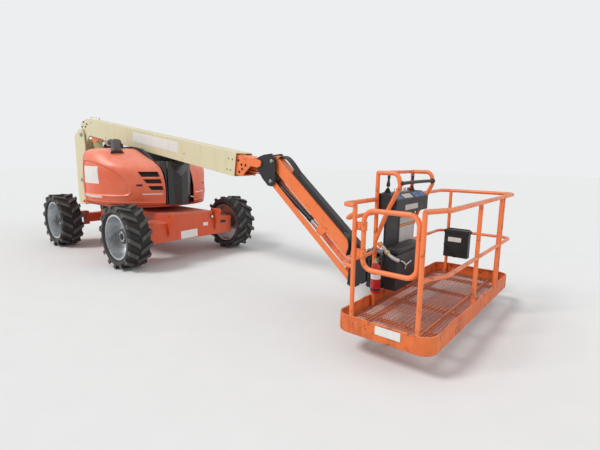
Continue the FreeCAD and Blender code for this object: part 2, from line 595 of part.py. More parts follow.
def hoods():
    """Both hoods with their hinge barrels, the right one with its vents, and the exhaust stack on its roof."""
    left = hood_shell()
    ring = mm.hinge_radius + mm.hinge_wall
    for x in HINGES:
        at = Vector(x - 22, mm.panel_out + ring, hinge_height())
        barrel = Part.makeCylinder(ring, 44, at, Vector(1, 0, 0))
        leaf = box(x - 22, x + 22, mm.panel_out + ring, mm.panel_out + ring + 45, mm.hood_top - 5, mm.hood_top + 6)
        bore = Part.makeCylinder(mm.hinge_radius + mm.pin_fit, 60, at - Vector(8, 0, 0), Vector(1, 0, 0))
        left = left.fuse(barrel.fuse(leaf).cut(bore))
    left = left.removeSplitter()
    node("left_hood", left)
    right = left.mirror(Vector(), Vector(0, 1, 0))
    slots = []
    for outer, inner, z0, z1 in VENTS:
        outline = ((-outer, z1), (-inner, z1), (-inner + 15, z0), (-outer + 45, z0))
        corners = [Vector(mm.vent_back, y, z) for y, z in outline]
        face = Part.Face(Part.makePolygon(corners + corners[:1]))
        slots.append(face.extrude(Vector(mm.vent_deep, 0, 0)))
    node("right_hood", right.cut(Part.makeCompound(slots)))
    low = mm.hood_top + mm.seat_gap
    foot = bar_z(mm.stack_radius, mm.stack_x, -mm.stack_y, low, low + 80)
    start = Vector(mm.stack_x, -mm.stack_y, low + 65)
    lean = Vector(-mm.stack_lean, 0, mm.stack_high - low - 65)
    pipe = Part.makeCylinder(mm.stack_radius - 10, lean.Length, start, lean)
    mouth = Part.makeCylinder(mm.stack_radius - 16, lean.Length, start + lean * 0.3, lean)
    node("exhaust_stack", fused([foot, pipe]).cut(mouth))


# Tower boom: local X runs forward along the boom, zero at the tower pivot
def tower_place():
    drop = math.degrees(math.atan2(mm.tower_z - mm.tower_tail_z, mm.tower_x - mm.tower_tail_x))
    return Placement(Vector(mm.tower_x, 0, mm.tower_z), Rotation(Vector(0, 1, 0), -drop))


def wear_pads(x0, x1, mid, half_out, deep_out, half_in, deep_in):
    """Four slide pads between a boom section's walls and the section that slides in it."""
    gap = mm.seat_gap
    pads = []
    for side in (1, -1):
        across = sorted((side * (half_in + gap), side * (half_out + 1)))
        pads.append(box(x0, x1, across[0], across[1], mid - 60, mid + 60))
        upright_span = sorted((mid + side * (deep_in + gap), mid + side * (deep_out + 1)))
        pads.append(box(x0, x1, -60, 60, upright_span[0], upright_span[1]))
    return pads


def tower():
    length = math.hypot(mm.tower_x - mm.tower_tail_x, mm.tower_z - mm.tower_tail_z)
    wall = mm.tower_wall
    skin = box(-mm.tower_length, -60, -mm.tower_half, mm.tower_half, -mm.tower_deep, mm.tower_deep)
    boss = bar_y(120, 0, 0, -mm.tower_half, mm.tower_half)
    web = box(-120, 0, -mm.tower_half, mm.tower_half, -110, 110)
    hollow = box(-mm.tower_length - 1, -140, -mm.tower_half + wall, mm.tower_half - wall,
                 -mm.tower_deep + wall, mm.tower_deep - wall)
    lugs = both_sides(eye_lug(mm.tower_eye_s, mm.tower_eye_h, -mm.tower_deep, 90, 90))
    bore = bar_y(mm.tower_pin + mm.pin_fit, 0, 0, -300, 300)
    base = fused([skin, boss, web]).cut(hollow).cut(bore)
    pads = wear_pads(-mm.tower_length + 20, -mm.tower_length + 120, 0, mm.tower_half - wall, mm.tower_deep - wall,
                     mm.tower_fly_half, mm.tower_fly_deep)
    node("tower_base", fused([base] + lugs + pads), tower_place())

    fly = box(-length + 60, -mm.tower_fly_front, -mm.tower_fly_half, mm.tower_fly_half,
              -mm.tower_fly_deep, mm.tower_fly_deep)
    inside = box(-length + 120, -mm.tower_fly_front + 1, -mm.tower_fly_half + wall, mm.tower_fly_half - wall,
                 -mm.tower_fly_deep + wall, mm.tower_fly_deep - wall)
    tip = bar_y(105, -length, 0, -mm.upright_half + mm.upright_thick + 2, mm.upright_half - mm.upright_thick - 2)
    tip_web = box(-length, -length + 90, -mm.tower_fly_half, mm.tower_fly_half, -95, 95)
    tail_bore = bar_y(mm.tower_pin + mm.pin_fit, -length, 0, -300, 300)
    node("tower_fly", fused([fly.cut(inside), tip, tip_web]).cut(tail_bore), tower_place())

    place = tower_place()
    eye_at = place.multVec(Vector(mm.tower_eye_s, 0, mm.tower_eye_h))
    reach = math.hypot(eye_at.x - mm.tower_cyl_x, eye_at.z - mm.tower_cyl_z)
    barrel, rod = ram(reach, mm.tower_barrel, mm.tower_cyl_radius, mm.tower_rod_radius, mm.cyl_eye,
                      mm.cyl_eye_half, mm.cyl_pin + mm.pin_fit)
    at = aim(mm.tower_cyl_x, mm.tower_cyl_z, eye_at.x, eye_at.z)
    node("tower_cylinder", barrel, at)
    node("tower_cylinder_rod", rod, at)


def upright():
    rear = mm.upright_rear
    front = mm.upright_front
    low = mm.upright_low
    top = mm.boom_z + mm.upright_cap
    nose = mm.upright_nose
    outline = ((rear, low + 60), (rear, top - 180), (rear + 60, top - 105), (mm.boom_x - 90, top),
               (mm.boom_x + 60, top - 10), (mm.boom_x + 130, mm.boom_z + 10), (mm.boom_x + nose, mm.boom_z - 240),
               (mm.boom_cyl_x + 70, mm.boom_cyl_z + 190), (mm.boom_cyl_x + 70, mm.boom_cyl_z - 60),
               (front, mm.boom_cyl_z - 160), (front, mm.tower_tail_z - 170), (front - 120, low), (rear + 60, low))
    plate = side_plate(outline, mm.upright_half - mm.upright_thick, mm.upright_half)
    inner = mm.upright_half - mm.upright_thick
    back = box(rear, rear + 20, -inner, inner, low + 60, top - 200)
    low_tie = box(rear + 60, rear + 260, -inner, inner, low, low + 20)
    pins = [bar_y(mm.tower_pin, mm.tower_tail_x, mm.tower_tail_z, -inner, inner),
            bar_y(mm.boom_pin, mm.boom_x, mm.boom_z, -inner, inner),
            bar_y(mm.cyl_pin, mm.boom_cyl_x, mm.boom_cyl_z, -inner, inner)]
    heads = []
    for radius, x, z in ((mm.tower_pin, mm.tower_tail_x, mm.tower_tail_z), (mm.boom_pin, mm.boom_x, mm.boom_z),
                         (mm.cyl_pin, mm.boom_cyl_x, mm.boom_cyl_z)):
        head = bar_y(radius + mm.pin_head, x, z, mm.upright_half - 1, mm.upright_half + mm.head_proud)
        heads.extend(both_sides(head))
    node("upright", fused(both_sides(plate) + [back, low_tie] + pins + heads))


# Main boom: local X runs forward along the boom, zero at the boom pivot
def boom_place():
    return Placement(Vector(mm.boom_x, 0, mm.boom_z), Rotation(Vector(0, 1, 0), mm.boom_slope))


def main_boom():
    place = boom_place()
    start = mm.boom_start
    end = start + mm.boom_length
    mid = mm.boom_axis
    deep = mm.boom_deep
    skin = box(start, end, -mm.boom_half, mm.boom_half, mid - deep, mid + deep)
    hollow = box(start + 30, end + 1, -mm.boom_half + mm.boom_wall, mm.boom_half - mm.boom_wall,
                 mid - deep + mm.boom_wall, mid + deep - mm.boom_wall)
    tail = ((start + 30, mid + deep), (start - 110, mid + deep), (-108, mid + 45), (-90, 40), (-40, -75),
            (130, -170), (start - 60, -60), (start + 30, mid - deep))
    cheek = side_plate(tail, mm.tail_in, mm.tail_out)
    tail_top = box(start - 110, start + 5, -mm.tail_out, mm.tail_out, mid + deep - 14, mid + deep)
    eye = eye_lug(mm.boom_eye_s, mm.boom_eye_h, mid - deep, 170, 110)
    hoop = box(start - 70, start - 40, -mm.guard_half, mm.guard_half, mid + deep - 1, mid + deep + mm.guard_high)
    hoop = hoop.cut(box(start - 71, start - 39, -mm.guard_half + mm.guard_wall, mm.guard_half - mm.guard_wall,
                        mid + deep - 2, mid + deep + mm.guard_high - mm.guard_wall))
    bore = bar_y(mm.boom_pin + mm.pin_fit, 0, 0, -400, 400)
    pads = wear_pads(end - 120, end - 20, mid, mm.boom_half - mm.boom_wall, deep - mm.boom_wall,
                     mm.fly_half, mm.fly_deep)
    base = fused([skin.cut(hollow)] + both_sides(cheek) + [tail_top, hoop] + both_sides(eye) + pads).cut(bore)
    node("main_boom_base", base, place)
    under = mid - deep - mm.seat_gap
    low = under - mm.bracket_deep
    outline = ((mm.bracket_start, under), (mm.bracket_start + 30, low), (mm.bracket_start + 150, low),
               (mm.bracket_end, under - 40), (mm.bracket_end, under))
    hanger = side_plate(outline, mm.bracket_in, mm.bracket_out)
    node("tail_bracket", Part.makeCompound(both_sides(hanger)), place)

    nose = place.inverse().multVec(Vector(mm.nose_x, 0, mm.nose_z))
    fly_skin = box(mm.fly_start, nose.x - 330, -mm.fly_half, mm.fly_half, mid - mm.fly_deep, mid + mm.fly_deep)
    fly_hollow = box(mm.fly_start - 1, nose.x + 1, -mm.fly_half + mm.fly_wall, mm.fly_half - mm.fly_wall,
                     mid - mm.fly_deep + mm.fly_wall, mid + mm.fly_deep - mm.fly_wall)
    top = mid + mm.fly_deep
    horn = ((nose.x - 340, top), (nose.x + 20, top), (nose.x + 55, nose.z + 20), (nose.x + 50, nose.z - 30),
            (nose.x, nose.z - 62), (nose.x - 150, nose.z - 66), (nose.x - 300, mid - mm.fly_deep),
            (nose.x - 340, mid - mm.fly_deep))
    horn_plate = side_plate(horn, mm.fly_half - mm.fly_cheek, mm.fly_half)
    roof = box(nose.x - 340, nose.x - 130, -mm.fly_half, mm.fly_half, top - mm.fly_wall, top)
    pin = bar_y(mm.nose_pin, nose.x, nose.z, -mm.fly_half, mm.fly_half)
    node("main_boom_fly", fused([fly_skin.cut(fly_hollow), roof, pin] + both_sides(horn_plate)), place)

    eye_at = place.multVec(Vector(mm.boom_eye_s, 0, mm.boom_eye_h))
    reach = math.hypot(eye_at.x - mm.boom_cyl_x, eye_at.z - mm.boom_cyl_z)
    barrel, rod = ram(reach, mm.boom_barrel, mm.boom_cyl_radius, mm.boom_rod_radius, mm.cyl_eye, mm.cyl_eye_half,
                      mm.cyl_pin + mm.pin_fit)
    at = aim(mm.boom_cyl_x, mm.boom_cyl_z, eye_at.x, eye_at.z)
    node("boom_cylinder", barrel, at)
    node("boom_cylinder_rod", rod, at)


def knuckle():
    """Black knuckle between the boom nose and the jib."""
    outline = ((mm.nose_x - 50, mm.nose_z - 60), (mm.nose_x - 62, mm.nose_z + 30), (mm.nose_x - 15, mm.nose_z + 82),
               (mm.nose_x + 90, mm.nose_z + 115), (mm.jib_x, mm.jib_z + 100), (mm.jib_x + 60, mm.jib_z + 50),
               (mm.jib_x + 75, mm.jib_z - 90), (mm.link_x + 75, mm.link_z - 30), (mm.link_x + 20, mm.link_z - 70),
               (mm.link_x - 45, mm.link_z - 60), (mm.level_x + 30, mm.level_z - 48))
    plate = side_plate(outline, mm.knuckle_in, mm.knuckle_out)
    bore = bar_y(mm.nose_pin + mm.pin_fit, mm.nose_x, mm.nose_z, -200, 200)
    tie = box(mm.nose_x + 90, mm.nose_x + 120, -mm.knuckle_in, mm.knuckle_in, mm.link_z + 120, mm.jib_z + 10)
    pins = [bar_y(mm.jib_pin, mm.jib_x, mm.jib_z, -mm.knuckle_in, mm.knuckle_in),
            bar_y(mm.jib_pin, mm.link_x, mm.link_z, -mm.knuckle_in, mm.knuckle_in)]
    pins.extend(both_sides(bar_y(mm.level_pin, mm.level_x, mm.level_z, mm.level_half + mm.seat_gap,
                                 mm.knuckle_in)))
    node("boom_knuckle", fused(both_sides(plate) + [tie] + pins).cut(bore))
    slope = math.radians(mm.boom_slope)
    eye = bar_y(mm.level_eye, mm.level_x, mm.level_z, -mm.level_half, mm.level_half)
    bore = bar_y(mm.level_pin + mm.pin_fit, mm.level_x, mm.level_z, -mm.level_half - 6, mm.level_half + 6)
    along = Vector(-math.cos(slope), 0, math.sin(slope))
    start = Vector(mm.level_x, 0, mm.level_z) + along * mm.level_half
    shaft = Part.makeCylinder(mm.level_radius, mm.level_length, start, along)
    node("level_rod", fused([shaft, eye]).cut(bore))


# Jib: both arms drawn along X from their knuckle pins, then laid at the jib's slope
def jib_place(x, z):
    slope = math.degrees(math.atan2(mm.jib_drop, mm.jib_run))
    return Placement(Vector(x, 0, z), Rotation(Vector(0, 1, 0), slope))


def jib():
    length = math.hypot(mm.jib_run, mm.jib_drop)
    place = jib_place(mm.jib_x, mm.jib_z)
    deep = mm.jib_deep
    wall = mm.jib_wall
    outline = ((-60, 40), (-10, deep), (length - 20, deep), (length + 50, 30), (length + 40, -40),
               (length - 60, -deep), (mm.jib_eye_s + 70, -deep), (mm.jib_eye_s + 40, mm.jib_eye_h - 36),
               (mm.jib_eye_s - 40, mm.jib_eye_h - 36), (mm.jib_eye_s - 75, -deep), (20, -deep), (-50, -50))
    solid = side_plate(outline, -mm.jib_half, mm.jib_half)
    inside = box(110, mm.jib_eye_s + 110, -mm.jib_half + wall, mm.jib_half - wall, mm.jib_eye_h - 60, deep - wall)
    slot = box(-70, 111, -mm.jib_half + wall, mm.jib_half - wall, mm.jib_eye_h - 60, -mm.boss_low)
    rest = box(mm.jib_eye_s + 110, length - 110, -mm.jib_half + wall, mm.jib_half - wall, -deep + wall, deep - wall)
    bores = [bar_y(mm.jib_pin + mm.pin_fit, x, 0, -200, 200) for x in (0, length)]
    stubs = both_sides(bar_y(mm.jib_stub, mm.jib_eye_s, mm.jib_eye_h, mm.jib_half - wall - 5, mm.jib_half))
    arm = solid.cut(inside).cut(slot).cut(rest).cut(bores[0]).cut(bores[1])
    node("jib_arm", fused([arm] + stubs), place)

    low = mm.link_deep
    link_place = jib_place(mm.link_x, mm.link_z)
    beam = box(0, length, -mm.link_half, mm.link_half, -low, low)
    ends = [bar_y(low, x, 0, -mm.link_half, mm.link_half) for x in (0, length)]
    trough = box(-60, length + 60, -mm.link_half + wall, mm.link_half - wall, -low - 1, low + 1)
    tie = box(mm.tie_start, mm.tie_end, -mm.link_half + 1, mm.link_half - 1, -low, -low + mm.tie_thick)
    link = fused([fused([beam] + ends).cut(trough), tie])
    for x in (0, length):
        link = link.cut(bar_y(mm.jib_pin + mm.pin_fit, x, 0, -200, 200))
    node("jib_link", link, link_place)

    cover = box(mm.hose_start, length - 60, mm.hose_in, mm.hose_out, deep + mm.seat_gap, deep + mm.hose_high)
    slot = box(mm.hose_start - 1, length - 59, mm.hose_in + mm.hose_wall, mm.hose_out - mm.hose_wall, deep + 12,
               deep + mm.hose_high - mm.hose_wall)
    node("jib_hose_cover", cover.cut(slot), place)

    eye_at = place.multVec(Vector(mm.jib_eye_s, 0, mm.jib_eye_h))
    reach = math.hypot(eye_at.x - mm.link_x, eye_at.z - mm.link_z)
    barrel, rod = ram(reach, mm.jib_barrel, mm.jib_cyl_radius, mm.jib_rod_radius, mm.jib_eye, mm.jib_eye_half,
                      mm.jib_pin + mm.pin_fit, mm.jib_retract)
    at = aim(mm.link_x, mm.link_z, eye_at.x, eye_at.z)
    node("jib_cylinder", barrel, at)
    node("jib_cylinder_rod", rod, at)


def platform_head():
    """The bracket on the jib's end, with the rotary actuator that turns the platform."""
    tip_x = mm.jib_x + mm.jib_run
    tip_z = mm.jib_z - mm.jib_drop
    low_x = mm.link_x + mm.jib_run
    low_z = mm.link_z - mm.jib_drop
    outline = ((low_x - 60, low_z - 30), (low_x + 20, low_z - 62), (low_x + 95, low_z - 15),
               (low_x + 130, low_z + 50), (mm.turn_x - 40, low_z + 50), (mm.turn_x - 40, tip_z + 90),
               (tip_x + 60, tip_z + 90), (tip_x - 50, tip_z + 60))
    plate = side_plate(outline, mm.head_in, mm.head_out)
    pins = [bar_y(mm.jib_pin, tip_x, tip_z, -mm.head_in, mm.head_in)]
    pins.extend(both_sides(bar_y(mm.jib_pin, low_x, low_z, mm.link_half - mm.link_wall - 2, mm.head_in)))
    web = box(tip_x + 70, tip_x + 90, -mm.head_in, mm.head_in, low_z + 60, tip_z + 70)
    node("platform_head", fused(both_sides(plate) + [web] + pins))
    body = bar_z(mm.turner_radius, mm.turn_x, 0, mm.turner_low, mm.turner_high)
    half = mm.head_in - mm.seat_gap
    foot = box(tip_x + 90 + mm.seat_gap, mm.turn_x, -half, half, low_z + 60, tip_z + 60)
    shaft = bar_z(mm.turner_shaft, mm.turn_x, 0, mm.turner_low - 45, mm.turner_high + 45)
    node("rotary_actuator", fused([body, foot, shaft]))


# Platform
def platform_base():
    x0, x1, y0, y1 = mm.deck_back, mm.deck_front, mm.deck_right, mm.deck_left

    def pan(inset, z0, z1):
        solid = box(x0 + inset, x1 - inset, y0 + inset, y1 - inset, z0, z1)
        corners = [e for e in solid.Edges if abs(e.Vertexes[0].Z - e.Vertexes[-1].Z) > 1]
        return solid.makeFillet(mm.corner - inset, corners)

    tray = pan(0, mm.floor_low, mm.toe_top).cut(pan(mm.toe_wall, mm.floor_top, mm.toe_top + 1))
    node("platform_deck", tray)


def platform_bracket():
    """The fork that hangs the platform on its rotary actuator, with the frame up its back."""
    x = mm.turn_x
    low = mm.turner_low - mm.seat_gap
    high = mm.turner_high + mm.seat_gap
    parts = []
    for z0, z1 in ((low - 18, low), (high, high + 18)):
        parts.append(bar_z(85, x, 0, z0, z1))
        parts.append(box(x, x + 190, -85, 85, z0, z1))
    parts.append(box(x + 160, x + 190, -170, 170, low - 18, high + 18))
    back = mm.deck_back - mm.seat_gap
    for z0 in (low - 18, high - 32):
        parts.append(box(x + 180, back, -170, 170, z0, z0 + 50))
    bore = bar_z(mm.turner_shaft + mm.pin_fit, x, 0, 0, 1000)
    node("platform_bracket", fused(parts).cut(bore))


def rails():
    r = mm.rail_radius
    inset = mm.toe_wall + mm.post_radius + mm.seat_gap
    x0 = mm.deck_back + inset
    x1 = mm.deck_front - inset
    y0 = mm.deck_right + inset
    y1 = mm.deck_left - inset
    foot = mm.floor_top + mm.post_lift
    top = mm.rail_top
    mid = mm.rail_mid
    near_rear = mm.gate_rear - mm.gate_post
    near_front = mm.gate_rear + mm.gate_wide + mm.latch_post
    far_rear = mm.deck_back + mm.corner
    far_front = mm.deck_front - mm.corner
    posts = (
        (near_rear, y0, top), (near_front, y0, top), (x1, mm.front_post_near, top), (x1, mm.front_post_far, top),
        (x1, mm.front_post_far + mm.front_post_pair, top), (far_rear, y1, top), (far_front, y1, top),
        (x0, mm.hoop_right, mm.hoop_top), (x0, mm.hoop_left, mm.hoop_top),
    )
    parts = [bar_z(mm.post_radius, x, y, foot, z) for x, y, z in posts]
    for z, thin in ((top, r), (mid, mm.mid_radius)):
        outer = ((near_front, y0, z), (x1, mm.front_bend_y, z), (x1, y1, z), (x0, y1, z), (x0, mm.hoop_left, z))
        parts.append(tube(outer, thin, mm.rail_bend))
        parts.append(tube(((x0, mm.hoop_right, z), (x0, y0 + 45, z), (near_rear, y0, z)), thin, 60))
    for y in (mm.hoop_right, mm.hoop_left):
        reach = x0 + mm.hoop_reach
        hoop = ((x0, y, mm.hoop_top), (reach - 25, y, mm.hoop_top), (reach, y, mm.hoop_elbow),
                (x0 + mm.hoop_reach / 2, y, mm.hoop_waist), (x0, y, mm.hoop_foot))
        parts.append(tube(hoop, r, mm.hoop_bend))
    parts.append(tube(((x0, mm.hoop_right, mm.hoop_top), (x0, mm.hoop_left, mm.hoop_top)), mm.mid_radius))
    guard = ((near_rear, y0, top - 60), (x0, y0 + 90, mm.guard_rail), (x0, mm.hoop_right, mm.guard_rail))
    parts.append(tube(guard, mm.mid_radius, 60))
    loop = ((x0, mm.loop_right, mid), (x0 - mm.loop_out, mm.loop_right, mid), (x0 - mm.loop_out, mm.loop_left, mid),
            (x0, mm.loop_left, mid))
    parts.append(tube(loop, mm.mid_radius - 4, 40))
    bore = bar_z(r + mm.pin_fit, mm.gate_rear, mm.gate_y, 0, 2000)
    for z0 in (mm.gate_low + 100, mm.gate_low + 330):
        parts.append(bar_z(r + mm.sleeve_wall, mm.gate_rear, mm.gate_y, z0, z0 + mm.sleeve_high))
        parts.append(box(near_rear, mm.gate_rear - r - 3, mm.gate_y - 18, mm.gate_y + 2, z0, z0 + mm.sleeve_high))
    node("platform_rails", fused(parts).cut(bore))


def gate():
    r = mm.rail_radius
    y = mm.gate_y
    x0, x1, z0, z1 = mm.gate_rear, mm.gate_rear + mm.gate_wide, mm.gate_low, mm.gate_top
    mid = (x0 + x1) / 2
    points = ((mid, y, z0), (x0, y, z0), (x0, y, z1), (x1, y, z1), (x1, y, z0), (mid, y, z0))
    node("gate", tube(points, r, mm.gate_bend))


def fittings():
    """Console, controls board, manual box and extinguisher, each seated on a rail."""
    r = mm.rail_radius
    inset = mm.toe_wall + mm.post_radius + mm.seat_gap
    x0 = mm.deck_back + inset
    gap = mm.seat_gap
    desk = box(x0 - 15, x0 - 15 + mm.console_deep, mm.hoop_right + r + gap, mm.hoop_left - r - gap,
               mm.console_low, mm.console_top)
    slope = side_plate(((x0 + mm.console_deep - 95, mm.console_top + 1), (x0 + mm.console_deep, mm.console_top - 70),
                        (x0 + mm.console_deep, mm.console_top + 1)), mm.hoop_right, mm.hoop_left)
    node("console_box", desk.cut(slope))
    front = x0 + 40 + mm.board_thick
    board = box(x0 + 40, front, mm.board_right, mm.board_left, mm.board_low, mm.console_low - gap)
    pod = box(front + gap, front + mm.pod_deep, mm.board_right + 10, mm.board_left, mm.pod_low, mm.pod_top)
    node("console_board", Part.makeCompound([board, pod]))
    y = mm.deck_left - inset - mm.post_radius - gap
    case_x = mm.deck_back + mm.case_rear
    node("manual_box", box(case_x, case_x + mm.case_long, y - mm.case_deep, y, mm.case_low, mm.case_top))
    step = (mm.post_radius + mm.bottle_radius + gap) * math.sqrt(0.5)
    bottle = bar_z(mm.bottle_radius, x0 + step, mm.hoop_right - step, mm.bottle_low, mm.bottle_top)
    neck = bar_z(20, x0 + step, mm.hoop_right - step, mm.bottle_top - 5, mm.bottle_top + 60)
    node("extinguisher", fused([bottle, neck]))


wheels()
chassis()
drive_axle()
steer_axle()
steer_rod()
knuckles()
slew_ring()
turntable()
counterweight()
engine()
front_cover()
side_panels()
hoods()
tower()
upright()
main_boom()
knuckle()
jib()
platform_head()
platform_base()
platform_bracket()
rails()
gate()
fittings()
doc.recompute()

for thing in doc.Objects:
    if "Invalid" in thing.State or "Error" in thing.State:
        raise RuntimeError("%s: %s" % (thing.Label, thing.State))
os.makedirs("parts", exist_ok=True)
for thing in NODES:
    shape = thing.Shape
    if shape.isNull() or not shape.isValid():
        raise RuntimeError("%s has no valid shape" % thing.Label)
for thing in NODES:
    thing.Shape.exportStep("parts/%s.step" % thing.Label)
    limits = thing.Shape.BoundBox
    print("%-22s solids %2d  x %8.1f %8.1f  y %8.1f %8.1f  z %7.1f %7.1f  litres %8.2f" % (
        thing.Label, len(thing.Shape.Solids), limits.XMin, limits.XMax, limits.YMin, limits.YMax,
        limits.ZMin, limits.ZMax, thing.Shape.Volume / 1e6))
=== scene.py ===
import math

import bmesh
import bpy
import numpy as np
from mathutils import Matrix, Vector


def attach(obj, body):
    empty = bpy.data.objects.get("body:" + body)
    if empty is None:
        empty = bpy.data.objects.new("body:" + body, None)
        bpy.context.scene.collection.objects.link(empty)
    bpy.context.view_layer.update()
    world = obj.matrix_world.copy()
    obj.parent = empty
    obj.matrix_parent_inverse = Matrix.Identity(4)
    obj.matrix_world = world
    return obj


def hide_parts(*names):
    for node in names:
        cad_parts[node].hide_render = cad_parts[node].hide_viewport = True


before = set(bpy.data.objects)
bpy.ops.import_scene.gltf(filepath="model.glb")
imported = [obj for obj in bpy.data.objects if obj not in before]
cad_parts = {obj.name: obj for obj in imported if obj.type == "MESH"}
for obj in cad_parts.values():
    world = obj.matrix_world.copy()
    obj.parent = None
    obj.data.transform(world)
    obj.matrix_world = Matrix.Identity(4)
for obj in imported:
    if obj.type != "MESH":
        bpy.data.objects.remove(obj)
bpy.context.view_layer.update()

SLEW_X = -1.78              # the slewing axis
WHEEL_X = (-0.54, -3.02)    # front and rear axles
AXLE_Z = 0.50


# Camera at the photograph's viewpoint, found by fitting the wheels, platform and booms
def photo_camera():
    place = Vector((5.397, -3.974, 1.714))
    yaw, pitch, roll = (math.radians(a) for a in (129.54, -9.43, 0.77))
    ahead = Vector((math.cos(pitch) * math.cos(yaw), math.cos(pitch) * math.sin(yaw), math.sin(pitch)))
    right = Vector((math.sin(yaw), -math.cos(yaw), 0))
    up = right.cross(ahead)
    right_turned = math.cos(roll) * right + math.sin(roll) * up
    up_turned = math.cos(roll) * up - math.sin(roll) * right
    data = bpy.data.cameras.new("photo_camera")
    data.sensor_width = 36
    data.lens = 36 * 393.35 / 600
    data.clip_end = 200
    camera = bpy.data.objects.new("photo_camera", data)
    axes = Matrix((right_turned, up_turned, -ahead)).transposed()
    camera.matrix_world = Matrix.Translation(place) @ axes.to_4x4()
    bpy.context.scene.collection.objects.link(camera)
    bpy.context.scene.camera = camera


photo_camera()
bpy.context.scene.view_settings.view_transform = "Standard"


# Colours and shader nodes
def linear(code):
    """An sRGB hex code as linear red, green, blue and alpha."""
    parts = [int(code[i:i + 2], 16) / 255 for i in (1, 3, 5)]
    return tuple(p / 12.92 if p <= 0.04045 else ((p + 0.055) / 1.055) ** 2.4 for p in parts) + (1.0,)


def connect(tree, node, inputs):
    """Gives each input of a node a value, another node's first output, or an output."""
    for key, value in inputs.items():
        if isinstance(value, bpy.types.Node):
            value = value.outputs[0]
        if isinstance(value, bpy.types.NodeSocket):
            tree.links.new(value, node.inputs[key])
        else:
            node.inputs[key].default_value = value
    return node


def add(tree, kind, inputs=None, **settings):
    """Adds one shader node with its settings and links."""
    node = tree.nodes.new("ShaderNode" + kind)
    for name, value in settings.items():
        setattr(node, name, value)
    return connect(tree, node, inputs or {})


def new_material(name):
    """A material, its tree, and the place on the object that its patterns follow."""
    material = bpy.data.materials.new(name)
    material.use_nodes = True
    tree = material.node_tree
    return material, tree, add(tree, "TexCoord").outputs["Object"]


def patches(tree, place, scale, detail, rough, low, high, most):
    """Cloudy noise, so many patches a metre, and its mask: 0 where it is under low, most where it is over high."""
    noise = add(tree, "TexNoise", {"Vector": place, "Scale": scale, "Detail": detail, "Roughness": rough})
    return noise, add(tree, "MapRange", {0: noise, 1: low, 2: high, 4: most})


def layered(tree, base, layers):
    """A base colour with layers over it, each a mask and a colour."""
    colour = linear(base)
    for mask, over in layers:
        colour = add(tree, "Mix", {0: mask, 6: colour, 7: linear(over)}, data_type="RGBA").outputs[2]
    return colour


def dressed(material, colour, rough, relief, rounded, strength, depth, more):
    """Gives a material its colour, roughness and relief, over edges that catch the light as rounded ones do."""
    tree = material.node_tree
    bump = add(tree, "Bump", {"Height": relief, "Normal": rounded, "Strength": strength, "Distance": depth})
    connect(tree, tree.nodes["Principled BSDF"], {"Base Color": colour, "Roughness": rough, "Normal": bump, **more})
    return material


def worn_paint(name, base, faded, grime, roughness=0.45, fade=0.5, streaks=0.35, dust=0.3, dust_and_light_colour="#A59C90",
               chips=0.25, chip_colour="#5A3423", bevel=0.004, peel=0.04, fade_scale=1.1, coat=0.0, scuffs=0.0,
               dust_and_light_from=0.45):
    """Sprayed enamel, gel coat or film after years outdoors: faded in patches, with grime run down it, dust on what
    faces up, chips at its edges and scuffs on its flats. A start below zero grades the pale layer down the sides as
    well: painted light above, painted shade below."""
    material, tree, place = new_material(name)
    # Fading in patches of 0.9 m, grime in runs 70 mm wide and 0.7 m long
    _, fading = patches(tree, place, fade_scale, 5.0, 0.62, 0.32, 0.68, fade)
    tall = add(tree, "Mapping", {"Vector": place, "Scale": (9.0, 9.0, 0.9)})
    _, runs = patches(tree, tall, 1.6, 6.0, 0.7, 0.52, 0.78, streaks)
    # Dust in patches of 140 mm on what faces up; from a start below zero, as on the hoods, the same layer grades down
    # the
    #     # sides as painted light and shade
    surface = add(tree, "NewGeometry")
    facing = add(tree, "VectorMath", {0: surface.outputs["True Normal"], 1: (0.0, 0.0, 1.0)},
                 operation="DOT_PRODUCT")
    patch, shine = patches(tree, place, 7.0, 4.0, 0.6, 0.3, 0.75, roughness + 0.15)
    shine.inputs[3].default_value = roughness - 0.08
    top = add(tree, "MapRange", {0: facing.outputs["Value"], 1: dust_and_light_from, 2: 0.95, 4: dust})
    dust_and_light_mask = add(tree, "Math", {0: top, 1: patch}, operation="MULTIPLY")
    # Chips of 20 mm where an edge is sharp, scuffs of 90 mm anywhere
    rounded = add(tree, "Bevel", {"Radius": bevel}, samples=4)
    edge = add(tree, "VectorMath", {0: rounded, 1: surface.outputs["True Normal"]}, operation="DOT_PRODUCT")
    sharp = add(tree, "MapRange", {0: edge.outputs["Value"], 1: 0.97, 2: 0.80, 4: 0.55})
    fine = add(tree, "TexNoise", {"Vector": place, "Scale": 46.0, "Detail": 5.0, "Roughness": 0.7})
    knocked = add(tree, "Math", {0: fine, 1: sharp}, operation="ADD")
    chipped = add(tree, "MapRange", {0: knocked, 1: 0.76, 2: 0.84, 4: chips * 3})
    _, scuffed = patches(tree, place, 11.0, 9.0, 0.74, 0.565, 0.61, scuffs)
    colour = layered(tree, base, ((fading, faded), (runs, grime), (dust_and_light_mask, dust_and_light_colour), (chipped, chip_colour),
                                  (scuffed, chip_colour)))
    # Orange peel is 1 to 2 mm, drawn as 4 mm so that it shows
    skin = add(tree, "TexNoise", {"Vector": place, "Scale": 240.0, "Detail": 2.0})
    return dressed(material, colour, shine, skin, rounded, peel * 4, 0.001,
                   {"Coat Weight": coat, "Coat Roughness": 0.2})


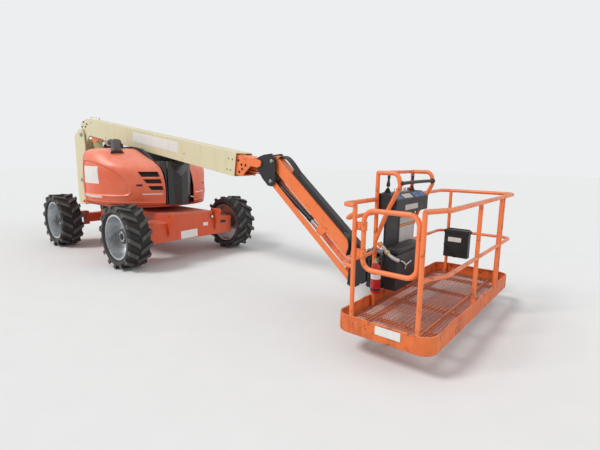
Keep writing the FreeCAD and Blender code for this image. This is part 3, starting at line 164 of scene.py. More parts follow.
def tyre_rubber(name):
    """Carbon-black rubber: black in the grooves, grey with road dust on the crown of the lugs and on the walls."""
    material, tree, place = new_material(name)
    # Distance from the nearer axle, by the height over it and the length from it
    parts = add(tree, "SeparateXYZ", {0: place})
    along = add(tree, "Math", {0: parts, 1: -sum(WHEEL_X) / 2}, operation="ADD")
    mirrored = add(tree, "Math", {0: along}, operation="ABSOLUTE")
    beside = add(tree, "Math", {0: mirrored, 1: (WHEEL_X[0] - WHEEL_X[1]) / 2}, operation="SUBTRACT")
    above = add(tree, "Math", {0: parts.outputs[2], 1: AXLE_Z}, operation="SUBTRACT")
    flat = add(tree, "CombineXYZ", {0: beside, 1: above})
    radius = add(tree, "VectorMath", {0: flat}, operation="LENGTH").outputs["Value"]
    crown = add(tree, "MapRange", {0: radius, 1: 0.455, 2: 0.497, 4: 0.55})
    # Dust in patches of 110 mm on the crown and the flat of the wall
    broad = add(tree, "TexNoise", {"Vector": place, "Scale": 9.0, "Detail": 6.0, "Roughness": 0.7})
    side = add(tree, "SeparateXYZ", {0: add(tree, "NewGeometry").outputs["True Normal"]})
    flank = add(tree, "Math", {0: side.outputs[1]}, operation="ABSOLUTE")
    wall = add(tree, "MapRange", {0: flank, 1: 0.7, 2: 1.0, 4: 0.42})
    where = add(tree, "Math", {0: crown, 1: wall}, operation="ADD")
    dust = add(tree, "Math", {0: where, 1: broad}, operation="MULTIPLY")
    # Grit is about 1 mm, drawn as 8 mm so that it shows
    grit, speck = patches(tree, place, 120.0, 4.0, 0.7, 0.35, 0.75, 1.2)
    speck.inputs[3].default_value = 0.4
    mask = add(tree, "Math", {0: dust, 1: speck}, operation="MULTIPLY")
    rounded = add(tree, "Bevel", {"Radius": 0.008}, samples=4)
    return dressed(material, layered(tree, "#18181A", ((mask, "#A9A39B"),)), 0.82, grit, rounded, 0.35, 0.002,
                   {"IOR": 1.52})


def dulled_metal(name, base, dark, rust, metallic=0.85, roughness=0.38, rusty=0.25, scale=6.0):
    """Plated or bare steel: bright grey that is duller in patches, with rust in spots a quarter as large."""
    material, tree, place = new_material(name)
    _, dull = patches(tree, place, scale, 6.0, 0.65, 0.35, 0.7, 0.6)
    spots, rusted = patches(tree, place, scale * 4.5, 8.0, 0.75, 0.60, 0.74, rusty)
    rough = add(tree, "MapRange", {0: spots, 1: 0.3, 2: 0.7, 3: roughness - 0.1, 4: roughness + 0.2})
    rounded = add(tree, "Bevel", {"Radius": 0.003}, samples=4)
    return dressed(material, layered(tree, base, ((dull, dark), (rusted, rust))), rough, spots, rounded, 0.12,
                   0.002, {"Metallic": metallic})


def moulded_plastic(name, base, faded, roughness=0.5, fade=0.5):
    """Moulded ABS or polyethylene with a leather grain, greyed by the sun where it faces up."""
    material, tree, place = new_material(name)
    surface = add(tree, "NewGeometry")
    facing = add(tree, "VectorMath", {0: surface.outputs["True Normal"], 1: (0.0, 0.0, 1.0)},
                 operation="DOT_PRODUCT")
    sunned = add(tree, "MapRange", {0: facing.outputs["Value"], 1: -0.2, 3: 0.05, 4: fade})
    # Fading in patches of 200 mm
    broad, rough = patches(tree, place, 5.0, 6.0, 0.65, 0.3, 0.7, roughness + 0.14)
    rough.inputs[3].default_value = roughness - 0.07
    mask = add(tree, "Math", {0: sunned, 1: broad}, operation="MULTIPLY")
    rounded = add(tree, "Bevel", {"Radius": 0.004}, samples=4)
    # Leather grain is about 1 mm, drawn as 2.4 mm so that it shows
    leather = add(tree, "TexVoronoi", {"Vector": place, "Scale": 420.0})
    return dressed(material, layered(tree, base, ((mask, faded),)), rough, leather, rounded, 0.15, 0.001, {})


PAINT = {
    # Two-pack enamel on the chassis: a dull brick orange under dust
    "chassis": worn_paint("chassis_enamel", "#D9552F", "#C8674A", "#6E3A28", roughness=0.5, dust=0.55),
    # Cream enamel of the booms: even and half glossy, with brown runs
    "boom": worn_paint("boom_cream_enamel", "#DDD3AC", "#CFC7A8", "#9C8C66", roughness=0.42, streaks=0.3,
                       dust=0.25, chips=0.15, chip_colour="#7A5A3C"),
    # Bright orange enamel of the jib, fly and gate, scuffed to primer in places
    "rail": worn_paint("rail_orange_enamel", "#F0783C", "#F48A54", "#A04A26", roughness=0.4, streaks=0.3,
                       dust=0.2, chips=0.3, scuffs=0.35),
    # The same enamel on the rails, its tops rubbed grey by hands and harness hooks
    "top_rail": worn_paint("scuffed_rail_enamel", "#F0783C", "#F48A54", "#A04A26", roughness=0.42, streaks=0.3,
                           dust=0.95, dust_and_light_colour="#7E7C7C", chips=0.5, chip_colour="#3E3430", scuffs=0.5),
    # The toe board's enamel: kicked, dented and brown at the edges
    "deck": worn_paint("deck_worn_enamel", "#EA7A38", "#CC5C2C", "#6B3A22", roughness=0.55, fade=0.9, streaks=0.8,
                       dust=0.35, chips=0.6, chip_colour="#4E2E20", fade_scale=3.0, scuffs=0.7),
    # The floor mesh: enamel walked off to rust on the strands
    "grid": worn_paint("rusted_floor_enamel", "#C8633A", "#A45A40", "#6E4030", roughness=0.6, fade=1.0,
                       streaks=0.5, dust=0.5, dust_and_light_colour="#A88C7C", chips=0.5, chip_colour="#4A3024",
                       bevel=0.001, fade_scale=4.0),
    # Gel coat on moulded glass fibre: smooth and soft-edged; pale pink where it faces up, grading to deeper orange
    # down
    #     # its sides: partly the gel coat's chalking, partly painted light above and painted shade below
    "hood": worn_paint("hood_gel_coat", "#DF5A30", "#EA8062", "#B4583C", roughness=0.4, fade=0.6, streaks=0.2,
                       dust=1.0, dust_and_light_colour="#F2A088", chips=0.05, fade_scale=0.9, bevel=0.012, peel=0.01,
                       dust_and_light_from=-0.2),
    # Black gel coat of the front cover: a wet gloss with soft reflections
    "cover": worn_paint("black_gel_coat", "#121214", "#1C1C20", "#3A3A3C", roughness=0.22, fade=0.6, streaks=0.15,
                        dust=0.3, chips=0.0, bevel=0.01, peel=0.01, coat=0.3),
    # Orange enamel on the hoods' steel tails: deeper than the gel coat, with sharper wear
    "tail": worn_paint("tail_orange_enamel", "#DB5527", "#E06A3C", "#8A3A20", roughness=0.4, dust=0.25, chips=0.15),
    # Black enamel of hubs, cylinders and brackets: half glossy, brown with dust
    "black": worn_paint("black_enamel", "#151517", "#26262A", "#3A3631", roughness=0.4, dust=0.35, chips=0.2,
                        chip_colour="#6A6058"),
    # Gloss enamel on the extinguisher: deep red with small hard highlights
    "red": worn_paint("red_gloss_enamel", "#B4161A", "#C42A26", "#5A1410", roughness=0.25, dust=0.15, chips=0.1,
                      bevel=0.002),
    # Cast iron of the engine under oil: dark and dull
    "iron": worn_paint("oily_iron", "#2A2A2C", "#3A3836", "#191715", roughness=0.5, dust=0.3),
    # Shaded insides of the vents and bolt holes: nearly black, no gloss
    "black_and_painted_shade": worn_paint("flat_black_and_painted_shade", "#08080A", "#121214", "#1E1C1A", roughness=0.7, dust=0.2, chips=0.0),
    # Sticker vinyl: flat milky white with a thin edge
    "vinyl": worn_paint("white_vinyl", "#E6E6E2", "#D6D2C8", "#A89880", roughness=0.35, fade=0.5, streaks=0.25,
                        dust=0.2, chips=0.1, chip_colour="#B8A890", bevel=0.0005, peel=0.0),
    # Orange sticker stripe: saturated and flat
    "stripe": worn_paint("orange_vinyl", "#E8862E", "#E09A50", "#A0622C", roughness=0.35, chips=0.1, bevel=0.0005),
    # Film over the blank placards: pale grey, yellowed and rubbed
    "placard": worn_paint("grey_placard_film", "#C4BFBA", "#AFA8A2", "#7E766E", roughness=0.4, fade=0.8, streaks=0.3,
                          dust=0.2, chips=0.1, bevel=0.0005, peel=0.0),
    # Extruded hose rubber: matt black that greys on top
    "rubber": worn_paint("hose_rubber", "#17171A", "#2C2B2A", "#4A443C", roughness=0.6, dust=0.35, chips=0.0,
                         bevel=0.001, peel=0.02),
    # Polycarbonate lens: pale and glossy
    "lamp": worn_paint("lamp_lens", "#F2EDDD", "#E4DCC8", "#B8AC90", roughness=0.1, dust=0.2, chips=0.0, coat=0.6),
    # Moulded tread rubber: matt, with dusty lugs over black grooves
    "tyre": tyre_rubber("worn_tyre_rubber"),
    # Zinc-plated rim: bright silver with dull clouds
    "zinc": dulled_metal("zinc_plated_rim", "#DCDEE0", "#A3A8AB", "#7A5B42", metallic=0.9, roughness=0.3, rusty=0.15),
    # Exhaust steel browned by heat: dark, with rust
    "steel": dulled_metal("heat_dulled_steel", "#5B5450", "#3B3634", "#6E3E26", roughness=0.5, rusty=0.5),
    # Hard chrome of the rods: a near mirror
    "chrome": dulled_metal("hard_chrome", "#D5D7D9", "#B9BCBE", "#6B5A48", metallic=1.0, roughness=0.18, rusty=0.05),
    # Galvanised conduit: pale grey and dull
    "pewter": dulled_metal("dull_grey_conduit", "#D8D8D8", "#9C9C9E", "#7A6A5A", metallic=0.4, roughness=0.45),
    # Brass and yellow-plated fittings: a warm glint
    "brass": dulled_metal("plated_fitting", "#C8B478", "#8E8058", "#5A4A38", roughness=0.35),
    # Plated bolt heads: grey with rust in spots of 7 mm
    "nut": dulled_metal("plated_bolt", "#A8A8A4", "#6E6C68", "#6E4A30", roughness=0.4, rusty=0.4, scale=30.0),
    # Black ABS of boxes, board and hose cover: soft sheen, grey on top
    "plastic": moulded_plastic("black_moulded_plastic", "#131315", "#5B5B5E"),
    # Stop button and panel film: plain strong colours with a soft sheen
    "knob_red": moulded_plastic("red_knob_plastic", "#B01C1C", "#C84840", fade=0.3),
    "film": moulded_plastic("blue_panel_film", "#3A5A86", "#7A90AC", fade=0.4),
}

WHEELS = tuple("%s_%s_" % (end, side) for end in ("front", "rear") for side in ("left", "right"))
DRESS = {
    "chassis": ("chassis_frame", "steer_axle", "turntable_frame", "counterweight"),
    "boom": ("tower_base", "tower_fly", "upright", "main_boom_base"),
    "rail": ("main_boom_fly", "jib_arm", "jib_link", "gate", "tail_bracket"),
    "top_rail": ("platform_rails",),
    "deck": ("platform_deck",),
    "hood": ("left_hood", "right_hood"),
    "black": ("drive_hubs", "left_knuckle", "right_knuckle", "slew_ring", "tower_cylinder", "boom_cylinder",
              "boom_knuckle", "platform_head", "jib_cylinder", "rotary_actuator", "platform_bracket"),
    "red": ("extinguisher",),
    "iron": ("engine_block",),
    "tyre": tuple(wheel + "tyre" for wheel in WHEELS),
    "zinc": tuple(wheel + "rim" for wheel in WHEELS),
    "steel": ("exhaust_stack",),
    "chrome": ("steer_rod", "tower_cylinder_rod", "boom_cylinder_rod", "level_rod", "jib_cylinder_rod"),
    "cover": ("front_cover",),
    "plastic": ("side_panels", "jib_hose_cover", "console_box", "console_board", "manual_box"),
}
for finish, names in DRESS.items():
    for name in names:
        for material_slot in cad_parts[name].material_slots:
            material_slot.material = PAINT[finish]


# Shapes: each is a pair of arrays, its points and its four-sided faces
def grid_faces(rows, columns, close_rows=False, close_columns=False):
    """Faces of a grid of points that is stored row after row; either direction may close on itself."""
    row = np.arange(rows if close_rows else rows - 1)[:, None]
    column = np.arange(columns if close_columns else columns - 1)[None, :]
    below, beside = (row + 1) % rows, (column + 1) % columns
    corners = (row * columns + column, row * columns + beside, below * columns + beside, below * columns + column)
    return np.stack(corners, -1).reshape(-1, 4)


def grid(points, close_rows=False, close_columns=False):
    """A surface from its grid of points."""
    rows, columns = points.shape[:2]
    return points.reshape(-1, 3), grid_faces(rows, columns, close_rows, close_columns)


def together(*shapes):
    """Several shapes as one, their faces renumbered."""
    starts = np.cumsum([0] + [len(points) for points, _ in shapes])
    faces = [faces + start for (_, faces), start in zip(shapes, starts)]
    return np.concatenate([points for points, _ in shapes]), np.concatenate(faces)


def copies(shape, places):
    """The same shape at each of a table of places."""
    points, faces = shape
    places = np.asarray(places, float)
    moved = (points[None] + places[:, None]).reshape(-1, 3)
    numbered = faces[None] + len(points) * np.arange(len(places))[:, None, None]
    return moved, numbered.reshape(-1, 4)


def unit(vector):
    vector = np.asarray(vector, float)
    return vector / np.linalg.norm(vector, axis=-1, keepdims=True)


def stood(shape, place, right, up):
    """A shape drawn with its face towards local +Z, put at a place with its local X and Y along right and up."""
    right, up = unit(right), unit(up)
    points, faces = shape
    return points @ np.stack([right, up, np.cross(right, up)]) + np.asarray(place, float), faces


def laid(shape, beam):
    """A shape drawn along a beam's own axes, put where the beam's pivot and its fall in degrees say."""
    x, z, fall = beam
    c, s = math.cos(math.radians(fall)), math.sin(math.radians(fall))
    points, faces = shape
    return points @ np.array(((c, 0, -s), (0, 1, 0), (s, 0, c))) + np.array((x, 0, z)), faces


def rounded_outline(width, height, radius, steps=6):
    """Points round a rectangle with quarter-circle corners: each corner's centre plus radius times cos and sin."""
    turn = np.linspace(0, math.pi / 2, steps)[None] + np.arange(4)[:, None] * math.pi / 2
    centre = np.array(((1, 1), (-1, 1), (-1, -1), (1, -1))) * (width / 2 - radius, height / 2 - radius)
    return (centre[:, None] + radius * np.stack([np.cos(turn), np.sin(turn)], -1)).reshape(-1, 2)


def plate(width, height, radius, thick, edge=0.002, crown=0.0):
    """Rings of a rounded rectangle: flat back, straight sides, rounded edge, and a face that rises as a parabola."""
    rings = [(0, 0, 0), (0, 1, 0), (0, 1, thick - edge), (0.3 * edge, 1, thick - 0.3 * edge), (edge, 1, thick)]
    rings += [(edge, k, thick + crown * (1 - k * k)) for k in (0.8, 0.5, 0)]
    outlines = [rounded_outline(width - 2 * inset, height - 2 * inset, max(radius - inset, 1e-4)) * scale
                for inset, scale, _ in rings]
    heights = [np.full((len(outlines[0]), 1), z) for _, _, z in rings]
    return grid(np.stack([np.hstack(pair) for pair in zip(outlines, heights)]), close_columns=True)


def turned(profile, count=24):
    """A profile of radius and height turned about local Z."""
    profile = np.asarray(profile, float)
    angle = np.linspace(0, 2 * math.pi, count, endpoint=False)[None]
    radius, height = profile[:, :1], profile[:, 1:]
    points = np.stack([radius * np.cos(angle), radius * np.sin(angle), height + 0 * angle], -1)
    return grid(points, close_columns=True)


def curve(points, rounds=4):
    """A smooth line near its corner points: each round cuts every corner a quarter of the way along its sides."""
    line = np.asarray(points, float)
    for _ in range(rounds):
        a, b = line[:-1], line[1:]
        cuts = np.stack([0.75 * a + 0.25 * b, 0.25 * a + 0.75 * b], 1).reshape(-1, 3)
        line = np.concatenate([line[:1], cuts, line[-1:]])
    return line


def swept(line, section, up=(0, 0, 1), swell=1.0):
    """A closed section of (side, up) points carried along a line, its ends closed to their middles. swell multiplies
    the section, all along or at each point of the line."""
    ahead = unit(np.gradient(line, axis=0))
    side = unit(np.cross(ahead, np.asarray(up, float)))
    over = np.cross(side, ahead)
    section = np.asarray(section, float)
    ring = side[:, None] * section[None, :, :1] + over[:, None] * section[None, :, 1:]
    points = line[:, None] + np.reshape(swell, (-1, 1, 1)) * ring
    ends = [np.repeat(line[k][None, None], len(section), 1) for k in (0, -1)]
    return grid(np.concatenate([ends[0], points, ends[1]]), close_columns=True)


def round_section(radius, count=10):
    """A circle as a section."""
    angle = np.linspace(0, 2 * math.pi, count, endpoint=False)
    return radius * np.stack([np.cos(angle), np.sin(angle)], -1)


def hose(points, diameter):
    """A flexible hose along a smooth line."""
    return swept(curve(points), round_section(diameter / 2))


def along_outline(outline, spaced):
    """Points round a closed outline, and how far round it they lie: spaced makes that from where its corners lie."""
    closed = np.concatenate([outline, outline[:1]])
    run = np.concatenate([[0], np.cumsum(np.linalg.norm(np.diff(closed, axis=0), axis=1))])
    place = spaced(run)
    return np.stack([np.interp(place, run, closed[:, n]) for n in (0, 1)], -1), place


def bolt(size):
    """A hexagon head on a washer, their heights and radii in ratio to the thread size."""
    head = turned(((0, 0), (0.85 * size, 0), (0.85 * size, 0.5 * size), (0.75 * size, 0.62 * size),
                   (0, 0.62 * size)), 6)
    washer = turned(((0, 0), (1.25 * size, 0), (1.25 * size, 0.15 * size), (0, 0.15 * size)), 14)
    return together(washer, (head[0] + (0, 0, 0.15 * size), head[1]))


def new_piece(name, shape, finish, body, sharp=35, stands_for=(), others=(), patch=None, wall=None):
    """Puts a shape into a mesh that rides on a body. patch numbers the finish of each face: 0 for finish, then the
    others; sharp is the angle in degrees over which an edge stays hard."""
    points, faces = shape
    mesh = bpy.data.meshes.new(name)
    mesh.vertices.add(len(points))
    mesh.vertices.foreach_set("co", np.asarray(points, np.float32).ravel())
    mesh.loops.add(faces.size)
    mesh.loops.foreach_set("vertex_index", faces.astype(np.int32).ravel())
    mesh.polygons.add(len(faces))
    mesh.polygons.foreach_set("loop_start", np.arange(0, faces.size, 4, dtype=np.int32))
    for each in (finish, *others):
        mesh.materials.append(PAINT[each])
    if patch is not None:
        mesh.polygons.foreach_set("material_index", patch.astype(np.int32))
    mesh.update(calc_edges=True)
    work = bmesh.new()
    work.from_mesh(mesh)
    bmesh.ops.remove_doubles(work, verts=work.verts, dist=2e-5)
    bmesh.ops.dissolve_degenerate(work, edges=work.edges, dist=1e-6)
    bmesh.ops.recalc_face_normals(work, faces=work.faces)
    work.to_mesh(mesh)
    work.free()
    mesh.shade_smooth()
    mesh.set_sharp_from_angle(angle=math.radians(sharp))
    piece = bpy.data.objects.new(name, mesh)
    bpy.context.scene.collection.objects.link(piece)
    if wall:
        shell = piece.modifiers.new("wall", "SOLIDIFY")
        shell.thickness, shell.offset = wall, -1
    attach(piece, body)
    if stands_for:
        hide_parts(*stands_for)


# The two beams whose own axes carry trim: pivot x, pivot z and fall in degrees
BOOM = (-4.05, 2.20, 8.56)
JIB = (1.69, 1.69, 40.39)

# Hood outlines at rising heights, from the slewing axis; the hoods leave a slot for the boom, and each moulding ends
# at its joint to the steel tail
INNER_Y = 0.2823
TAIL_JOINT = -0.215
HOOD_LEVELS = np.array((
    # height, half width, front, rear, crown x
    (0.9203, 0.985, 1.125, 0.985, 0.05),
    (1.0, 1.045, 1.160, 1.040, 0.05),
    (1.3, 1.062, 1.150, 1.055, 0.05),
    (1.56, 1.062, 1.0, 1.055, 0.09),
    (1.765, 1.005, 0.5, 1.03, 0.0),
    (1.84, 0.905, 0.3, 0.96, -0.06),
    (1.87, 0.74, 0.15, 0.86, -0.15),
))
# Door panel of a hood as (x, z) points; the vents as (y, z) corners
DOOR = ((-0.30, 1.655), (-0.02, 1.66), (0.26, 1.628), (0.46, 1.575), (0.632, 1.50), (0.73, 1.42), (0.80, 1.32),
        (0.845, 1.22), (0.855, 1.14), (0.83, 1.098), (0.77, 1.082), (0.456, 1.078), (-0.30, 1.074))
VENTS = (
    ((0.640, 1.480), (0.350, 1.480), (0.335, 1.390), (0.595, 1.390)),
    ((0.585, 1.358), (0.335, 1.358), (0.320, 1.280), (0.540, 1.280)),
    ((0.530, 1.245), (0.325, 1.245), (0.310, 1.170), (0.485, 1.170)),
)


def through(table, t):
    """Rows between a table's rows, by a cubic through each row whose slope is half the step between its
    neighbours."""
    last = len(table) - 1
    k = np.clip(t.astype(int), 0, last - 1)
    f = (t - k)[:, None]
    before, here, there, after = (table[np.clip(k + n, 0, last)] for n in (-1, 0, 1, 2))
    return 0.5 * (2 * here + (there - before) * f + (2 * before - 5 * here + 4 * there - after) * f ** 2
                  + (3 * here - before - 3 * there + after) * f ** 3)


def hood_points(level, around):
    """The hood's outer surface: at each level two arcs run from the boom slot, one from the front and one from the
    rear, and both are level where they meet at the half width. around is 0 at the front, 1 there and 2 behind."""
    height, half, front, rear, crown = (c[:, None] for c in through(HOOD_LEVELS, level).T)
    around = np.atleast_2d(around)
    end = np.where(around < 1, front, -rear)
    rise = half - INNER_Y
    radius = ((end - crown) ** 2 + rise ** 2) / (2 * rise)
    angle = np.arctan2(abs(end - crown), radius - rise) * abs(1 - around) * np.where(around < 1, 1, -1)
    out = np.stack([np.sin(angle), np.cos(angle), 0 * angle], -1)
    x = crown + radius * np.sin(angle)
    y = half - radius + radius * np.cos(angle)
    return np.stack([x, y, height + 0 * x], -1), out


def inside(points, corners):
    """Signed distance from each point to a closed outline, positive inside: the nearest side's distance, and the
    parity of the sides that a ray along the first axis crosses."""
    a = np.asarray(corners, float)
    b = np.roll(a, -1, 0)
    p = points[..., None, :]
    side = b - a
    k = np.clip(((p - a) * side).sum(-1) / (side ** 2).sum(-1), 0, 1)
    near = np.linalg.norm(p - a - k[..., None] * side, axis=-1).min(-1)
    level = (a[:, 1] > p[..., 1]) != (b[:, 1] > p[..., 1])
    crossing = a[:, 0] + (p[..., 1] - a[:, 1]) * side[:, 0] / np.where(side[:, 1] == 0, 1e-9, side[:, 1])
    odd = (level & (p[..., 0] < crossing)).sum(-1) % 2
    return np.where(odd == 1, near, -near)


def ease(value, low, high):
    """0 below low and 1 above high, by the cubic 3k^2 - 2k^3 between."""
    k = np.clip((value - low) / (high - low), 0, 1)
    return k * k * (3 - 2 * k)


def hood_relief(points, vented):
    """How far the moulding stands out of the plain form: 10 mm at the lower lip, 18 mm in at the door panel with a
    bell-shaped bead of 8 mm round it, a bell-shaped groove of 12 mm at the joint to the steel tail, a seam 8 mm deep,
    and vent pockets 45 mm deep. Also gives the vents' depth, 0 to 1."""
    x, y, z = (points[..., n] for n in range(3))
    lip = 0.010 * (1 - ease(z, 0.965, 0.985))
    door = inside(points[..., (0, 2)], curve(np.hstack([np.array(DOOR), np.zeros((len(DOOR), 1))]), 2)[:, :2])
    moulded = x > TAIL_JOINT
    joint = np.exp(-((x - TAIL_JOINT) / 0.006) ** 2)
    bead = 0.008 * np.exp(-((door + 0.010) / 0.010) ** 2) * (1 - ease(z, 1.12, 1.30))
    relief = lip + (bead - 0.018 * ease(door, 0.0, 0.012)) * moulded - 0.012 * joint
    seam = inside(points[..., (0, 2)], ((0.44, 1.05), (0.447, 1.05), (0.62, 0.90), (0.613, 0.90)))
    relief = relief - 0.008 * ease(seam, -0.005, 0.002)
    depth = 0 * x
    if vented:
        for corners in VENTS:
            depth = np.maximum(depth, ease(inside(points[..., (1, 2)], corners), 0.0, 0.007) * (x > 0.3))
    return relief - 0.045 * depth, depth


def hood_surface(side, vented):
    """The whole hood: rows up its levels, then rows that draw its top outline in to the boom slot and up 7 mm by a
    sine. Also numbers each face: 0 for gel coat, 1 for the painted shade inside a vent, 2 for the steel tail."""
    up = np.concatenate([np.linspace(0, 1, 10)[:-1], np.linspace(1, 1.5, 12)[:-1], np.linspace(1.5, 2.75, 64)[:-1],
                         np.linspace(2.75, 3.5, 18)[:-1], np.linspace(3.5, 6, 24)])
    around = np.concatenate([np.linspace(0, 0.36, 84)[:-1], np.linspace(0.36, 1.3, 120)[:-1],
                             np.linspace(1.3, 2, 36)])
    points, out = hood_points(up, around)
    relief, depth = hood_relief(points, vented)
    points = points + out * relief[..., None]
    top = points[-1]
    shrink = np.linspace(0, 1, 9)[1:, None]
    roof = np.stack([top[:, 0] + 0 * shrink, INNER_Y + (top[:, 1] - INNER_Y) * (1 - shrink),
                     top[:, 2] + 0.007 * np.sin(shrink * math.pi / 2)], -1)
    points = np.concatenate([points, roof])
    # Faces deep in a vent take the near-black painted shade
    dark = np.concatenate([depth > 0.8, np.zeros(roof.shape[:2], bool)])
    tail = points[..., 0] < TAIL_JOINT - 0.007
    patch = np.where(dark, 1, np.where(tail, 2, 0))[:-1, :-1].ravel()
    points = points * (1, side, 1) + (SLEW_X, 0, 0)
    return grid(points), patch


def on_hood(side, x0, x1, z0, z1, proud, columns=24, rows=8):
    """A sheet 4 mm thick that follows the hood between two lengths and two heights, standing a little proud of it."""
    levels = np.linspace(0, 6, 601)
    heights = through(HOOD_LEVELS, levels)[:, 0]
    level = np.interp(np.linspace(z0, z1, rows), heights, levels)
    wide, _ = hood_points(level, np.linspace(0, 2, 401))
    around = np.stack([np.interp(np.linspace(x1, x0, columns)[::-1], row[::-1, 0], np.linspace(2, 0, 401))
                       for row in wide])
    points, out = hood_points(level, around)
    relief, _ = hood_relief(points, False)
    face, back = (points + out * (relief + offset)[..., None] for offset in (proud, proud - 0.004))
    ring = np.concatenate([face, back[::-1]])
    return grid(ring * (1, side, 1) + (SLEW_X, 0, 0), close_rows=True)


# Hoods with their bands, blank stickers and nose lines
SIDES = ((-1, "right"), (1, "left"))
for side, word in SIDES:
    lid = word + "_lid"
    moulding, patch = hood_surface(side, side < 0)
    new_piece(word + "_hood_shell", moulding, "hood", lid, sharp=40, stands_for=(word + "_hood",),
              others=("black_and_painted_shade", "tail"), patch=patch, wall=0.010)
    for name, *reach in (("_hood_band", -0.205, 0.39, 1.035, 1.072, 0.0015),
                         ("_hood_sticker", -0.205, 0.33, 1.27, 1.56, 0.002),
                         ("_nose_line", 0.985, 1.150, 1.103, 1.120, 0.0015, 16, 3)):
        new_piece(word + name, on_hood(side, *reach), "vinyl", lid)


# Platform: toe board of folded sheet, expanded-metal floor and the channels under it
DECK = (3.52, 4.41, -1.20, 1.24)    # rear, front, right and left edge
DECK_RADIUS = 0.13
DECK_LOW, DECK_HIGH = 0.228, 0.385
FLOOR_TOP = 0.268
DENTS = np.array((
    # place along the edge from the near rear corner, height, width along, height of dent, depth
    (0.30, 0.37, 0.10, 0.05, 0.010), (0.62, 0.30, 0.14, 0.09, 0.006), (0.80, 0.36, 0.05, 0.04, 0.009),
    (1.40, 0.36, 0.22, 0.05, 0.012), (1.75, 0.28, 0.12, 0.08, 0.006), (2.30, 0.37, 0.16, 0.04, 0.010),
    (2.95, 0.34, 0.10, 0.06, 0.007), (3.60, 0.37, 0.12, 0.05, 0.008), (5.20, 0.36, 0.15, 0.05, 0.009),
))


def deck_edge(count=240):
    """Points evenly round the deck's outline from its near rear corner along the near end, their outward directions,
    and how far round each lies."""
    x0, x1, y0, y1 = DECK
    outline = np.roll(rounded_outline(x1 - x0, y1 - y0, DECK_RADIUS, 24), -48, 0) + ((x0 + x1) / 2, (y0 + y1) / 2)
    points, place = along_outline(outline, lambda run: np.linspace(0, run[-1], count, endpoint=False))
    ahead = unit(np.roll(points, -1, 0) - np.roll(points, 1, 0))
    return points, np.stack([ahead[:, 1], -ahead[:, 0]], -1), place


def toe_board():
    """A 3 mm sheet carried round the deck: foot flange, upright wall, and a rolled lip; dents push it inwards by a
    bell curve in both directions."""
    points, out, place = deck_edge()
    roll = np.radians(np.linspace(0, 300, 12))
    lip = np.stack([-0.008 + 0.008 * np.cos(roll), DECK_HIGH - 0.008 + 0.008 * np.sin(roll)], -1)
    wall = [(-0.001, z) for z in np.linspace(DECK_LOW + 0.004, DECK_HIGH - 0.012, 12)]
    inner = [(-0.004, z) for z in np.linspace(DECK_HIGH - 0.022, FLOOR_TOP - 0.012, 9)]
    foot = [(-0.045, FLOOR_TOP - 0.012), (-0.045, FLOOR_TOP - 0.015), (-0.006, FLOOR_TOP - 0.015),
            (-0.006, DECK_LOW + 0.003), (-0.030, DECK_LOW + 0.003), (-0.030, DECK_LOW), (-0.004, DECK_LOW)]
    profile = np.concatenate([wall, lip, inner, foot])
    height = profile[None, :, 1]
    push = np.zeros((len(place), len(profile)))
    for along, z, wide, high, depth in DENTS:
        push = push + depth * np.exp(-((place[:, None] - along) / wide * 2) ** 2 - ((height - z) / high) ** 2)
    push = push + 0.0015 * (1 + np.sin(place[:, None] * 9.0)) * ease(height, 0.27, 0.385)
    away = profile[None, :, 0] - push * (profile[None, :, 0] > -0.02)
    flat = points[:, None] + out[:, None] * away[..., None]
    return grid(np.concatenate([flat, np.broadcast_to(height[..., None], flat.shape[:2] + (1,))], -1), True, True)


def expanded_floor():
    """Expanded sheet of 40 by 20 mm diamonds: strands that zigzag along the deck, each a mirror of the next, so that
    they touch at their corners; a strand is 10 mm wide, 2 mm thick and tilted."""
    x0, x1, y0, y1 = DECK
    edge = pitch = 0.02
    steps = np.arange(0, int((y1 - y0 - 2 * edge) / pitch) + 1)
    sway = np.where(steps % 2 == 0, 1, -1) * 0.0051
    line = np.stack([sway, y0 + edge + steps * pitch, FLOOR_TOP + 0 * sway], -1)
    section = np.array(((-0.0050, 0.0045), (0.0050, -0.0025), (0.0050, -0.0045), (-0.0050, 0.0025)))
    points, faces = swept(line, section)
    across = np.arange(x0 + edge + pitch / 2, x1 - edge, pitch)
    points, faces = together(*(copies((points * (mirror, 1, 1), faces), [(x, 0, 0) for x in across[k::2]])
                               for k, mirror in enumerate((1, -1))))
    # Strand ends stay inside the rounded corners
    middle = ((x0 + x1) / 2, (y0 + y1) / 2)
    reach = np.array(((x1 - x0) / 2 - edge, (y1 - y0) / 2 - edge))
    radius = DECK_RADIUS - edge
    away = points[:, :2] - middle
    over = np.maximum(abs(away) - (reach - radius), 0)
    far = np.linalg.norm(over, axis=1)
    pull = np.where(far > radius, radius / np.maximum(far, 1e-9), 1)[:, None]
    drawn = np.sign(away) * (np.minimum(abs(away), reach - radius) + over * pull)
    return np.column_stack([drawn + middle, points[:, 2]]), faces


def channel(start, end, width, height, thick=0.003):
    """A folded channel between two points, open downwards."""
    half = width / 2
    section = ((-half, -height), (-half, 0), (half, 0), (half, -height), (half - thick, -height),
               (half - thick, -thick), (-half + thick, -thick), (-half + thick, -height))
    return swept(np.linspace(start, end, 2), section)


def floor_channels():
    """Four channels along X and two along Y, held between the toe board's walls just under the mesh."""
    x0, x1, y0, y1 = np.array(DECK) + (0.012, -0.012, 0.012, -0.012)
    under = FLOOR_TOP - 0.0012
    along = [channel((x0, y, under), (x1, y, under), 0.04, 0.034) for y in (-0.80, -0.20, 0.40, 0.96)]
    return together(*along, *(channel((x, y0, under - 0.001), (x, y1, under - 0.001), 0.04, 0.036)
                              for x in (3.70, 4.20)))


new_piece("toe_board", toe_board(), "deck", "platform", stands_for=("platform_deck",))
new_piece("expanded_floor", expanded_floor(), "grid", "platform")
new_piece("floor_channels", floor_channels(), "deck", "platform")


# Right and up of a face that looks to +X, to +Z and to -Y
FORWARD = (0, 1, 0), (0, 0, 1)
SKYWARD = (0, 1, 0), (-1, 0, 0)
NEARWARD = (1, 0, 0), (0, 0, 1)


